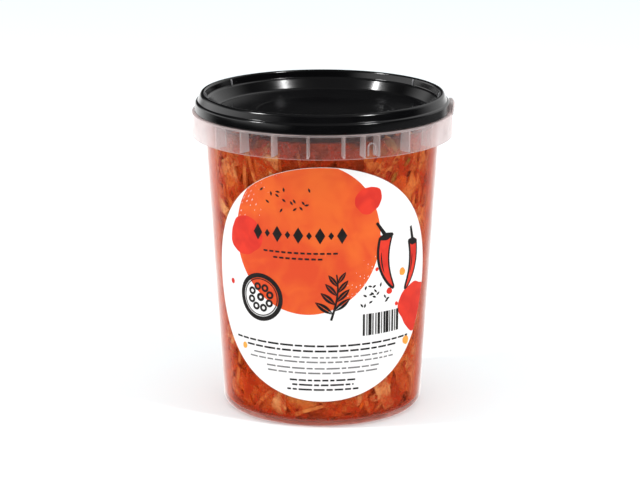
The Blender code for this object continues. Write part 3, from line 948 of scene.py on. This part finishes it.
@dataclass
class Label:
    """The round label: white film and its printed shapes, drawn in arc length and height."""

    wall: Wall
    half_angle: float = math.radians(66)
    middle: float = 69.5 * MM
    half_height: float = 56.2 * MM
    film_gap: float = 0.03 * MM
    film_thickness: float = 0.1 * MM
    ink_thickness: float = 0.02 * MM
    ink_gap: float = 0.004 * MM
    edge_margin: float = 0.15 * MM
    seed: int = 5
    inks: dict[InkLayer, list[Shape]] = field(default_factory=lambda: {layer: [] for layer in InkLayer})

    def on_wall(self, flat: np.ndarray, lift: float) -> np.ndarray:
        """Lay flat points on the wall.

        A point's angle is its distance aside divided by the wall's radius at its height, and its
        radius is the wall's plus the lift.

        Args:
            flat: Distance aside from the label's middle, and height above it, in metres.
            lift: Height above the wall's face.

        Returns:
            The points in space.
        """
        height = self.middle + flat[..., 1]
        radius = self.wall.outer(height)
        return placed(radius + lift, flat[..., 0] / radius, height)

    def edge_reach(self, direction: np.ndarray) -> np.ndarray:
        """Distance from the middle to the label's edge along each direction in radians."""
        half_width = self.half_angle * self.wall.outer(self.middle)
        return 1.0 / np.hypot(np.cos(direction) / half_width, np.sin(direction) / self.half_height)

    def kept_inside(self, flat: np.ndarray) -> np.ndarray:
        """Pull points that lie past the label's edge back onto it, towards the middle.

        Args:
            flat: Flat points in metres.

        Returns:
            The points, with those outside moved.
        """
        distance = np.hypot(flat[..., 0], flat[..., 1])
        limit = self.edge_reach(np.arctan2(flat[..., 1], flat[..., 0])) - self.edge_margin
        return flat * np.minimum(1.0, limit / np.maximum(distance, 1e-9))[..., None]

    def print_sheet(self, layer: InkLayer, flat: np.ndarray, ring: bool = False) -> None:
        """Add a printed shape as a thin closed plate.

        Args:
            layer: The ink.
            flat: Grid of flat points in metres.
            ring: Whether its last row joins its first.
        """
        low = self.film_gap + self.film_thickness + self.ink_gap + layer.value * self.ink_thickness
        kept = self.kept_inside(flat)
        sheets = (self.on_wall(kept, lift)[None] for lift in (low + self.ink_thickness, low))
        self.inks[layer].append(between_sheets(*sheets, ring))

    @staticmethod
    def disc(size: int) -> np.ndarray:
        """A unit disc as a grid: a square's x shrinks by the root of 1 - y²/2, and y likewise."""
        across, up = np.meshgrid(np.linspace(-1, 1, size), np.linspace(-1, 1, size), indexing="ij")
        return np.stack([across * np.sqrt(1 - 0.5 * up**2), up * np.sqrt(1 - 0.5 * across**2)], axis=-1)

    def blot(self, layer: InkLayer, middle: Pair, radius: float, rough: float, draw: Draw) -> None:
        """Print a blot: a disc whose radius rises and falls by waves of the angle.

        Args:
            layer: The ink.
            middle: Its middle in millimetres.
            radius: Its mean radius in millimetres.
            rough: Size of the waves as a share of the radius.
            draw: Source of the waves' phases.
        """
        grid = self.disc(9 + 2 * int(radius / 3.0) if radius < 9 else 25)
        angle = np.arctan2(grid[..., 1], grid[..., 0])
        phases = draw.uniform(0, 2 * math.pi, 4)
        waves = sum(np.sin(count * angle + phase) / count for count, phase in zip((2, 3, 5, 9), phases))
        self.print_sheet(layer, (np.array(middle) + grid * radius * (1 + rough * waves)[..., None]) * MM)

    def stroke(self, layer: InkLayer, path: np.ndarray, widths: np.ndarray, ring: bool = False) -> None:
        """Print a stroke: a band along a path, as wide to either side as the widths say.

        Args:
            layer: The ink.
            path: Points of the middle line in millimetres.
            widths: Half width at each point in millimetres.
            ring: Whether the path closes on itself.
        """
        if ring:
            tangent = np.roll(path, -1, axis=0) - np.roll(path, 1, axis=0)
        else:
            tangent = np.gradient(path, axis=0)
        tangent = tangent / np.linalg.norm(tangent, axis=1, keepdims=True)
        normal = np.stack([-tangent[:, 1], tangent[:, 0]], axis=1)
        share = np.linspace(-1.0, 1.0, 4)[None, :, None]
        grid = path[:, None] + normal[:, None] * share * widths[:, None, None]
        self.print_sheet(layer, grid * MM, ring)

    def circle(self, layer: InkLayer, middle: Pair, radius: float, half_width: float) -> None:
        """Print a ring of one width.

        Args:
            layer: The ink.
            middle: Its middle in millimetres.
            radius: Radius of its middle line in millimetres.
            half_width: Half its width in millimetres.
        """
        angle = full_turn(40)
        path = np.array(middle) + radius * np.stack([np.cos(angle), np.sin(angle)], axis=1)
        self.stroke(layer, path, np.full(40, half_width), ring=True)

    def bar(self, layer: InkLayer, start: Pair, end: Pair, half_width: float) -> None:
        """Print a straight bar between two points.

        Args:
            layer: The ink.
            start: One end in millimetres.
            end: The other end in millimetres.
            half_width: Half its width in millimetres.
        """
        share = np.linspace(0.0, 1.0, 5)[:, None]
        path = np.array(start) + share * (np.array(end) - np.array(start))
        self.stroke(layer, path, np.full(5, half_width))

    def chilli(self, tip: Pair, length: float, lean: float, bend: float) -> None:
        """Print a chilli: a red tapering curved body with black contours, a cap and a stalk.

        The body's middle line is straight along its lean plus a parabola of the bend, and its half
        width is the root of the share along it.

        Args:
            tip: The chilli's tip in millimetres.
            length: Its length in millimetres.
            lean: The angle that it points in, in radians.
            bend: How far its middle bows aside, in millimetres.
        """
        share = np.linspace(0.0, 1.0, 24)
        ahead = np.array([math.cos(lean), math.sin(lean)])
        normal = np.array([-math.sin(lean), math.cos(lean)])
        line = np.array(tip) + ahead * (share * length)[:, None]
        line = line + normal * (bend * share * (1 - share) * 4)[:, None]
        width = 0.135 * length * np.sqrt(share * (1.25 - 0.25 * share))
        self.stroke(InkLayer.RED, line, width + 0.05)
        for side, weight in ((-1.0, 0.42), (1.0, 0.62)):
            self.stroke(InkLayer.BLACK, line + normal * (side * width)[:, None], np.full(24, weight))
        gleam = line[8:18] + normal * (0.4 * width[8:18])[:, None]
        self.stroke(InkLayer.BLACK, gleam, 0.34 * np.sin(np.linspace(0.2, 2.9, 10)))
        cap = line[-1] + normal * (np.linspace(-1.15, 1.15, 9) * width[-1])[:, None]
        self.stroke(InkLayer.BLACK, cap, np.array([0.5, 1.0, 1.3, 1.6, 1.8, 1.6, 1.3, 1.0, 0.5]))
        outwards = np.array([math.cos(lean + 0.45), math.sin(lean + 0.45)])
        stalk = line[-1] + np.linspace(0.0, 1.0, 8)[:, None] * (0.34 * length) * outwards
        self.stroke(InkLayer.BLACK, stalk, np.linspace(1.0, 0.65, 8))

    def sprig(self, foot: Pair, height: float, leaves: int) -> None:
        """Print a leafy sprig: a curved stem with lens-shaped leaves to either side.

        A leaf's half width is a sine of the share along it.

        Args:
            foot: The stem's foot in millimetres.
            height: Its height in millimetres.
            leaves: Number of leaves.
        """
        share = np.linspace(0.0, 1.0, 16)
        stem = np.array(foot) + np.stack([0.14 * height * np.sin(2.2 * share), height * share], axis=1)
        self.stroke(InkLayer.BLACK, stem, np.linspace(0.55, 0.3, 16))
        along = np.linspace(0.02, 0.98, 12)
        for number in range(leaves):
            side = 1.0 if number % 2 else -1.0
            root = stem[int(2 + 12 * number / leaves)]
            angle = math.pi / 2 - side * (0.95 - 0.05 * number)
            reach = height * (0.46 - 0.022 * number)
            path = root + along[:, None] * reach * np.array([math.cos(angle), math.sin(angle)])
            half = 0.155 * reach * np.sin(math.pi * along)
            normal = np.array([-math.sin(angle), math.cos(angle)])
            for edge in (-1.0, 1.0):
                self.stroke(InkLayer.BLACK, path + normal * (edge * 0.56 * half)[:, None], 0.42 * half + 0.03)

    def slice(self, middle: Pair, radius: float) -> None:
        """Print a root slice: a thick ring, a thin one inside it and a circle of round holes.

        Args:
            middle: Its middle in millimetres.
            radius: Its radius in millimetres.
        """
        for reach, half_width in ((1.0, 0.1), (0.84, 0.022), (0.13, 0.06)):
            self.circle(InkLayer.BLACK, middle, reach * radius, half_width * radius)
        for angle in np.linspace(0.3, 2 * math.pi + 0.3, 8, endpoint=False):
            hole = (middle[0] + 0.5 * radius * math.cos(angle), middle[1] + 0.5 * radius * math.sin(angle))
            self.circle(InkLayer.BLACK, hole, 0.13 * radius, 0.05 * radius)

    def lozenges(self, middle: Pair, count: int, pitch: float, height: float) -> None:
        """Print a row of upright lozenges with small ones between them, as an ornament.

        Args:
            middle: The row's middle in millimetres.
            count: Number of lozenges.
            pitch: Distance between them in millimetres.
            height: Height of a big one in millimetres.
        """
        share = np.linspace(0.0, 1.0, 9)
        for number in range(count):
            x = middle[0] + (number - 0.5 * (count - 1)) * pitch
            big = number % 2 == 0
            reach = height * (0.5 if big else 0.24)
            path = np.stack([np.full(9, x), middle[1] - reach + 2 * reach * share], axis=1)
            half = 0.5 * pitch * (0.92 if big else 0.5) * (1 - np.abs(2 * share - 1))
            self.stroke(InkLayer.BLACK, path, half + 0.04)

    def dash_rows(
        self, layer: InkLayer, top: float, lines: int, step: float, half_width: float, height: float,
        draw: Draw,
    ) -> None:
        """Print rows of dashes of drawn lengths.

        Args:
            layer: The ink.
            top: Height of the first row in millimetres.
            lines: Number of rows.
            step: Distance between rows in millimetres.
            half_width: Half the width of a full row in millimetres.
            height: Half the height of a dash in millimetres.
            draw: Source of the dashes' lengths.
        """
        for line in range(lines):
            y = top - line * step
            reach = half_width * draw.uniform(0.82, 1.0)
            x = -reach
            while x < reach:
                length = min(draw.uniform(1.6, 6.5), reach - x + 0.6)
                self.bar(layer, (x, y), (x + length, y), height)
                x += length + 0.9

    def seeds(self, count: int, middle: Pair, spread: Pair, draw: Draw) -> None:
        """Scatter small black seeds: short strokes at drawn places and angles.

        Args:
            count: Number of seeds.
            middle: Middle of the patch in millimetres.
            spread: Half its width and half its height in millimetres.
            draw: Source of the places and angles.
        """
        share = np.linspace(0.0, 1.0, 6)
        for _ in range(count):
            angle = draw.uniform(0, math.pi)
            start = np.array(middle) + draw.uniform(-1, 1, 2) * np.array(spread)
            path = start + share[:, None] * 2.1 * np.array([math.cos(angle), math.sin(angle)])
            self.stroke(InkLayer.BLACK, path, 0.48 * np.sin(math.pi * np.clip(share, 0.06, 0.94)))

    def draw_design(self) -> None:
        """Print the whole design, all of it plain shapes."""
        draw = np.random.default_rng(self.seed)
        self.blot(InkLayer.ORANGE, (-8.0, 22.5), 36.0, 0.012, draw)
        self.blot(InkLayer.RED, (-38.5, 21.0), 9.5, 0.10, draw)
        self.blot(InkLayer.RED, (21.5, 40.0), 6.5, 0.12, draw)
        self.blot(InkLayer.RED, (52.0, -16.0), 12.5, 0.14, draw)
        for x, y, radius in ((33.0, -5.0, 1.6), (37.5, -12.0, 1.0), (-48.0, -3.0, 1.3), (26.0, 6.5, 0.9)):
            self.blot(InkLayer.RED, (x, y), radius, 0.08, draw)
        for x, y, radius in ((41.0, 3.0, 1.9), (-40.0, -33.0, 1.5), (44.5, -31.5, 2.2)):
            self.blot(InkLayer.YELLOW, (x, y), radius, 0.12, draw)
        self.chilli((35.5, -4.0), 26.0, 1.75, 3.4)
        self.chilli((43.0, -6.0), 23.0, 1.35, -2.8)
        self.slice((-30.0, -7.5), 10.5)
        self.sprig((4.0, -16.5), 22.0, 8)
        self.lozenges((-11.0, 24.0), 9, 5.0, 7.6)
        for row, width in ((15.6, 17.0), (12.9, 12.0)):
            for x in np.arange(-11.0 - width, -11.0 + width, 3.0):
                self.bar(InkLayer.BLACK, (x, row), (x + 2.0, row), 0.42)
        self.seeds(15, (-17.0, 39.5), (13.0, 5.0), draw)
        self.seeds(16, (26.0, -6.5), (7.0, 5.0), draw)
        widths = (0.5, 0.25, 0.8, 0.3, 0.3, 0.65, 0.25, 0.5, 0.8, 0.25, 0.5, 0.3, 0.7)
        for x, width in zip(19.5 + 1.55 * np.arange(len(widths)), widths):
            self.bar(InkLayer.BLACK, (x, -25.0), (x, -14.5), width)
        self.dash_rows(InkLayer.BLACK, -29.0, 2, 2.5, 46.0, 0.42, draw)
        self.dash_rows(InkLayer.GREY, -34.6, 2, 2.3, 40.0, 0.36, draw)
        self.dash_rows(InkLayer.GREY, -40.0, 2, 2.3, 30.0, 0.36, draw)
        self.dash_rows(InkLayer.BLACK, -45.8, 3, 2.3, 17.0, 0.4, draw)

    def build(self, film: Material, colours: dict[InkLayer, Material]) -> None:
        """Make the film and one piece for each ink.

        Args:
            film: Finish of the film.
            colours: Finish of each ink.
        """
        grid = self.disc(61)
        flat = grid * np.array([self.half_angle * self.wall.outer(self.middle), self.half_height])
        lifts = (self.film_gap + self.film_thickness, self.film_gap)
        sheets = (self.on_wall(flat, lift)[None] for lift in lifts)
        dress(between_sheets(*sheets).built("label_film", film), "label")
        self.draw_design()
        for layer, shapes in self.inks.items():
            piece = Shape.joined(shapes).built(f"label_{layer.name.lower()}", colours[layer])
            dress(piece, "label")


@dataclass
class Cuttings:
    """One kind of cut vegetable pressed against the wall, all pieces worked out as arrays.

    Lengths are in millimetres, and a pair is the range that they are drawn from.
    """

    name: str
    finish: str
    count: int
    length: Pair
    width: Pair
    thickness: Pair
    depth: Pair
    wave: float
    dive: float
    tilt: float
    ragged: float
    bow: float
    grid: tuple[int, int]
    seed: int

    def shape(self, wall: Wall, lowest: float, highest: float) -> Shape:
        """Work out every piece.

        A point goes from -1 to 1 along a piece and from -1 to 1 across it. Across, the width
        shrinks towards the ends and its edges wander by sines. The flat outline is turned about
        the wall's normal and laid round the wall. The depth is the piece's own, plus waves, plus
        the fourth power of the share along it, so that the ends dive into the heap.

        Args:
            wall: The wall that the pieces lie against.
            lowest: Lowest height of any point.
            highest: Highest height of any point.

        Returns:
            The pieces as one shape.
        """
        draw = np.random.default_rng(self.seed)
        number = self.count
        one = (number, 1, 1)
        spans = (self.length, self.width, self.thickness, self.depth)
        length, width, thick, depth = (MM * draw.uniform(*span, one) for span in spans)
        order = draw.permutation(number).reshape(one)
        start = (order + draw.uniform(0.2, 0.8, one)) / number
        turn = 0.5 * math.pi + self.tilt * draw.normal(0.0, 1.0, one)
        golden = 0.618034 * np.arange(number).reshape(one)
        centre = 2.0 * math.pi * ((golden + draw.uniform(-0.02, 0.02, one)) % 1.0) - math.pi
        phases = draw.uniform(0.0, 2.0 * math.pi, (5, *one))
        bow = self.bow * draw.uniform(-1.0, 1.0, one) * length
        along = np.linspace(-1.0, 1.0, self.grid[0])[None, :, None]
        across = np.linspace(-1.0, 1.0, self.grid[1])[None, None, :]
        edge = 1.0 + self.ragged * (np.sin(5.0 * along + phases[0]) + 0.6 * np.sin(11.0 * along + phases[1]))
        end = np.sqrt(np.clip(1.0 - 0.72 * np.abs(along) ** 5, 0.05, 1.0))
        reach = 0.5 * length * along * (1.0 + 0.3 * self.ragged * np.sin(4.0 * across + phases[2]))
        aside = 0.5 * width * across * edge * end + bow * along**2
        run = reach * np.cos(turn) - aside * np.sin(turn)
        rise = reach * np.sin(turn) + aside * np.cos(turn)
        low = rise.min(axis=(1, 2), keepdims=True)
        high = rise.max(axis=(1, 2), keepdims=True)
        middle = np.clip(lowest + (highest - lowest) * start, lowest - low, highest - high)
        height = middle + rise
        angle = centre + run / wall.inner(height)
        ripple = 0.5 + 0.5 * np.sin(3.4 * along + 1.4 * across + phases[3]) * np.cos(1.7 * across + phases[4])
        front = depth + self.wave * MM * ripple + self.dive * MM * along**4
        back = front + thick * (1.0 - 0.35 * across**2)
        radius = wall.inside(height)
        sheets = (placed(radius - sheet, angle, height) for sheet in (front, back))
        return between_sheets(*sheets, tones=draw.uniform(0.1, 1.0, number))


CUTTINGS = (
    Cuttings("cabbage_leaves", "leaf", 210, (16, 34), (7, 15), (0.7, 1.2), (0.1, 1.5), 1.3, 2.4,
             1.5, 0.13, 0.10, (13, 6), 21),
    Cuttings("cabbage_ribs", "rib", 120, (11, 26), (4, 8), (1.6, 2.6), (0.0, 0.7), 0.8, 1.4,
             1.4, 0.13, 0.10, (13, 6), 22),
    Cuttings("radish_strips", "radish", 150, (16, 36), (1.5, 2.4), (1.5, 2.2), (0.0, 0.9), 0.7, 1.6,
             1.4, 0.02, 0.12, (13, 3), 23),
    Cuttings("carrot_strips", "carrot", 60, (12, 28), (1.4, 2.2), (1.3, 2.0), (0.0, 0.8), 0.6, 1.4,
             1.2, 0.02, 0.12, (13, 3), 24),
    Cuttings("spring_onion", "onion", 34, (5, 12), (2.0, 3.6), (0.5, 0.9), (0.0, 0.6), 0.5, 0.6,
             1.6, 0.05, 0.08, (9, 4), 25),
    Cuttings("chilli_flakes", "flake", 420, (1.2, 3.4), (0.9, 2.2), (0.3, 0.5), (-0.02, 0.5), 0.2, 0.2,
             2.0, 0.12, 0.05, (5, 4), 26),
)


@dataclass
class Kimchi:
    """The filling: a dark core, cut vegetables against the wall and red sauce round them."""

    wall: Wall
    bottom: float = 3.0 * MM
    lowest_piece: float = 3.3 * MM
    highest_piece: float = 138.3 * MM
    core_grid: tuple[int, int] = (90, 240)
    core_depth: float = 3.6 * MM
    core_bump: float = 0.9 * MM
    core_top: float = 135.0 * MM
    core_swell: float = 1.8 * MM
    core_foot: float = 6.0 * MM
    core_foot_radius: float = 41.5 * MM
    core_tone: float = 0.5
    sauce_into_wall: float = 0.35 * MM
    sauce_level: float = 136.8 * MM
    sauce_steps: int = 180

    def core(self) -> Shape:
        """The bumpy heap: the wall's inner radius less a depth that swells by crossed sines."""
        share = np.linspace(0.0, 1.0, self.core_grid[0])[:, None]
        angle = full_turn(self.core_grid[1])[None, :]
        top = self.core_top + self.core_swell * np.sin(3.0 * angle + 0.7) * np.cos(2.0 * angle)
        height = self.core_foot + (top - self.core_foot) * share
        bump = np.sin(9.0 * angle + 17.0 * share) * np.cos(5.0 * angle - 21.0 * share)
        bump = bump + 0.6 * np.sin(31.0 * angle - 13.0 * share) * np.sin(7.0 * angle + 55.0 * share)
        radius = self.wall.inner(height) - self.core_depth + self.core_bump * bump
        foot = placed(self.core_foot_radius, angle, self.bottom)
        rings = np.concatenate([foot, placed(radius, angle, height)])
        shape = closed_at_poles(rings, (self.bottom, self.core_top))
        shape.tones = np.full(len(shape.points), self.core_tone)
        return shape

    def sauce(self) -> Shape:
        """The sauce's outer surface: the tub's inside, moved just into the wall and the floor."""
        start = self.wall.corner_top
        middle = (self.wall.inner(start) - self.wall.corner_round, start)
        corner = corner_arc(middle, self.wall.corner_round + self.sauce_into_wall, 10)
        heights = np.linspace(start, self.sauce_level, 30)[1:]
        side = np.stack([self.wall.inner(heights) + self.sauce_into_wall, heights], axis=1)
        outline = [[(0.0, corner[0, 1])], corner, side, [(0.0, self.sauce_level)]]
        return turned(np.concatenate(outline), self.sauce_steps)

    def build(self, finishes: dict[str, Material]) -> None:
        """Make the core, every kind of cutting and the sauce.

        Args:
            finishes: Materials by the food's name.
        """
        dress(self.core().built("kimchi_core", finishes["core"]), "kimchi")
        for kind in CUTTINGS:
            shape = kind.shape(self.wall, self.lowest_piece, self.highest_piece)
            dress(shape.built(kind.name, finishes[kind.finish]), "kimchi")
        dress(self.sauce().built("kimchi_sauce", finishes["sauce"]), "kimchi")


@dataclass(frozen=True)
class GlossyRoom:
    """What gloss reflects, each part as a ramp.

    From the first value of a direction to the second, its brightness goes from the third value
    to the fourth. Directions are across to the right, along to the back and up.
    """

    behind: Ramp = (0.1, 0.6, 0.0, 1.0)
    right_part: Ramp = (0.03, 0.30, 0.0, 0.8)
    low_band: Ramp = (0.04, 0.14, 0.4, 0.0)
    ceiling: Ramp = (0.5, 0.95, 0.0, 0.12)
    far_left: Ramp = (-0.85, -0.4, 1.6, 0.0)
    far_left_rise: Ramp = (0.3, 0.6, 1.0, 0.0)
    floor_skew: float = -0.18
    floor_behind: Ramp = (0.44, 0.95, 0.0, 1.5)
    floor_right: Ramp = (0.35, 0.9, 0.0, 0.2)
    floor_near: Ramp = (-0.75, -0.35, 1.0, 0.0)
    horizon: Ramp = (-0.06, 0.06, 0.0, 1.0)
    least: float = 0.015

    def brightness(self, wiring: Wiring) -> Socket:
        """Work out the room's brightness in every direction.

        Above the horizon it is dark, but for a dim ceiling, a low band of light behind the tub,
        a bright part behind it on the right and another at the far left. Below it, the floor is
        dark in front and white behind, sooner on the left than on the right, and white close to
        the tub.

        Args:
            wiring: Wiring of the world's tree.

        Returns:
            The brightness.
        """
        across, along, up = wiring.split(wiring.add("ShaderNodeTexCoord").outputs["Generated"])
        lit = wiring.spread(across, *self.right_part)
        lit = wiring.maths("MAXIMUM", lit, wiring.spread(up, *self.low_band))
        above = wiring.maths("MULTIPLY", lit, wiring.spread(along, *self.behind))
        above = wiring.maths("ADD", above, wiring.spread(up, *self.ceiling))
        left = wiring.spread(across, *self.far_left)
        left = wiring.maths("MULTIPLY", left, wiring.spread(up, *self.far_left_rise))
        above = wiring.maths("MAXIMUM", above, left)
        skewed = wiring.maths("ADD", along, wiring.maths("MULTIPLY", across, self.floor_skew))
        below = wiring.spread(skewed, *self.floor_behind)
        below = wiring.maths("MAXIMUM", below, wiring.spread(across, *self.floor_right))
        below = wiring.maths("MAXIMUM", below, wiring.spread(up, *self.floor_near))
        halves = {0: wiring.spread(up, *self.horizon), 2: below, 3: above}
        room = wiring.add("ShaderNodeMix", halves, data_type="FLOAT").outputs[0]
        return wiring.maths("ADD", room, self.least)


@dataclass
class Studio:
    """The pale floor, the light and the camera."""

    image_width: int = 640
    focal_pixels: float = 2387.8
    sensor_width: float = 36.0
    camera_place: tuple[float, float, float] = (-1.06 * MM, -1.098, 0.3624)
    camera_pitch: float = math.radians(14.516)
    lamp_directions: tuple[Pair, ...] = ((-78.0, 46.5), (57.0, 52.0))
    lamp_distance: float = 1.6
    lamp_size: Pair = (0.13, 0.30)
    lamp_power: float = 10.0
    lamp_aim: float = 0.145
    floor_reach: Pair = (0.3, 4.0)
    floor_half_width: float = 2.6
    floor_drop: float = 0.1 * MM
    floor_colours: tuple[Colour, Colour] = (ink(243, 251, 252), ink(246, 253, 254))
    soft_light: Colour = (0.88, 0.88, 0.89, 1.0)
    backdrop: Colour = (1.05, 1.05, 1.05, 1.0)

    def floor(self) -> None:
        """A pale matt floor, longer behind the part than in front of it."""
        near, far = self.floor_reach
        size = (self.floor_half_width, 0.5 * (near + far), 1.0)
        work = bmesh.new()
        bmesh.ops.create_grid(work, x_segments=8, y_segments=8, size=1.0)
        bmesh.ops.scale(work, vec=size, verts=work.verts)
        bmesh.ops.translate(work, vec=(0.0, 0.5 * (far - near), -self.floor_drop), verts=work.verts)
        mesh = bpy.data.meshes.new("floor")
        work.to_mesh(mesh)
        work.free()
        surface = Surface("floor")
        surface.feed(surface.shader, {
            "Base Color": surface.blend(surface.noise(surface.place, 3.0), *self.floor_colours),
            "Roughness": 0.9,
            "Specular IOR Level": 0.1,
        })
        mesh.materials.append(surface.material)
        floor = bpy.data.objects.new("floor", mesh)
        bpy.context.scene.collection.objects.link(floor)
        floor.visible_glossy = False

    def lamps(self) -> None:
        """Two small soft lamps, to the left and to the front right, high up and aimed at the lid."""
        for number, (azimuth, elevation) in enumerate(self.lamp_directions):
            turn, lift = math.radians(azimuth), math.radians(elevation)
            light = bpy.data.lights.new(f"lamp_{number}", "AREA")
            light.shape = "RECTANGLE"
            light.size, light.size_y = self.lamp_size
            light.energy = self.lamp_power
            lamp = bpy.data.objects.new(f"lamp_{number}", light)
            rise = self.lamp_distance * math.sin(lift) + self.lamp_aim
            lamp.location = placed(self.lamp_distance * math.cos(lift), turn, rise)
            lamp.rotation_euler = (0.5 * math.pi - lift, 0.0, turn)
            bpy.context.scene.collection.objects.link(lamp)

    def surroundings(self) -> None:
        """White for the camera and soft light for matt surfaces; gloss sees a darker room."""
        world = bpy.data.worlds.new("surroundings")
        bpy.context.scene.world = world
        world.use_nodes = True
        wiring = Wiring(world.node_tree)
        rays = wiring.add("ShaderNodeLightPath").outputs
        soft = wiring.blend(rays["Is Camera Ray"], self.soft_light, self.backdrop)
        seen = wiring.blend(rays["Is Glossy Ray"], soft, GlossyRoom().brightness(wiring))
        wiring.feed(world.node_tree.nodes["Background"], {"Color": seen})
        bpy.context.scene.view_settings.view_transform = "Standard"

    def camera(self) -> None:
        """The photograph's camera: its lens is the focal length in pixels over the image's width."""
        data = bpy.data.cameras.new("camera")
        data.sensor_width = self.sensor_width
        data.lens = self.sensor_width * self.focal_pixels / self.image_width
        data.clip_end = 20.0
        camera = bpy.data.objects.new("camera", data)
        camera.location = self.camera_place
        camera.rotation_euler = (0.5 * math.pi - self.camera_pitch, 0.0, 0.0)
        bpy.context.scene.collection.objects.link(camera)
        bpy.context.scene.camera = camera

    def build(self) -> None:
        """Set up the whole studio."""
        self.floor()
        self.lamps()
        self.surroundings()
        self.camera()


# The clear wall's bloom is pink: milky haze, with the red food's light scattered in it painted into its
# colour.
TUB_WALL = ClearPlastic("clear wall", ink(186, 132, 116), (0.0, 0.92), (0.53, 0.98), 0.10, 0.98, 0.5)
TUB_COLLAR = ClearPlastic("milky collar", ink(228, 210, 208), (0.03, 0.8), (0.12, 0.82), 0.20, 0.74)
TUB_FINS = ClearPlastic("milky fins", ink(236, 218, 215), (0.24, 0.8), (0.10, 0.80), 0.25, 0.84)
# The lugs are painted pale grey: a painted highlight for the glints that the small ribs catch on the black
# lid.
LUG_PAINTED_GLINT = BlackPlastic("lugs with painted glint", (0.16, 0.16, 0.165, 1.0), (0.35, 0.45))
LID_BLACK = BlackPlastic("black lid", (0.0018, 0.0018, 0.0021, 1.0), (0.12, 0.18))
FILM_WHITE = PrintedInk("white film", ink(250, 247, 245), ink(246, 243, 241), 25.0, 0.42)
INKS = {
    InkLayer.ORANGE: PrintedInk("orange ink", ink(238, 100, 26), ink(226, 70, 20), 26.0),
    InkLayer.RED: PrintedInk("red ink", ink(236, 52, 26), ink(216, 38, 20), 40.0),
    InkLayer.YELLOW: PrintedInk("yellow ink", ink(252, 176, 70), ink(248, 150, 52), 60.0),
    InkLayer.GREY: PrintedInk("grey ink", ink(120, 118, 118), ink(138, 136, 136), 80.0),
    InkLayer.BLACK: PrintedInk("black ink", ink(28, 24, 24), ink(38, 33, 32), 80.0, 0.42),
}
FOODS = {
    "core": Food("kimchi core", ink(196, 66, 18), ink(146, 38, 12), 0.45, 6.0 * MM, 130.0),
    "leaf": Food("cabbage leaf", ink(230, 148, 74), ink(214, 94, 30), 0.46, 3.8 * MM, 95.0),
    "rib": Food("cabbage rib", ink(238, 180, 114), ink(226, 126, 58), 0.36, 3.6 * MM, 90.0),
    "radish": Food("radish strip", ink(232, 150, 80), ink(220, 102, 42), 0.42, 3.6 * MM, 110.0),
    "carrot": Food("carrot strip", ink(236, 108, 22), ink(226, 80, 14), 0.36, 3.6 * MM, 120.0),
    "onion": Food("spring onion", ink(140, 124, 46), ink(104, 86, 28), 0.32, 3.0 * MM, 140.0),
    "flake": Food("chilli flake", ink(146, 26, 10), ink(96, 14, 8), 0.22, 3.0 * MM, 300.0),
    "sauce": SauceFilm("red sauce", ink(212, 78, 22), ink(180, 46, 12), (0.10, 0.72)),
}


def main() -> None:
    """Build every sub-assembly, then the studio, and note the sizes."""
    logging.basicConfig(level=logging.INFO, format="%(name)s: %(message)s")
    wall = Wall()
    effects = SharedEffects.made_for(wall)
    Kimchi(wall).build({name: food.made(effects) for name, food in FOODS.items()})
    Tub(wall).build(TUB_WALL.made(effects))
    Collar(wall).build(TUB_COLLAR.made(effects), TUB_FINS.made(effects))
    Lid().build(LID_BLACK.made(effects), LUG_PAINTED_GLINT.made(effects))
    inks = {layer: colour.made(effects) for layer, colour in INKS.items()}
    Label(wall).build(FILM_WHITE.made(effects), inks)
    Studio().build()


if __name__ == "__main__":
    main()
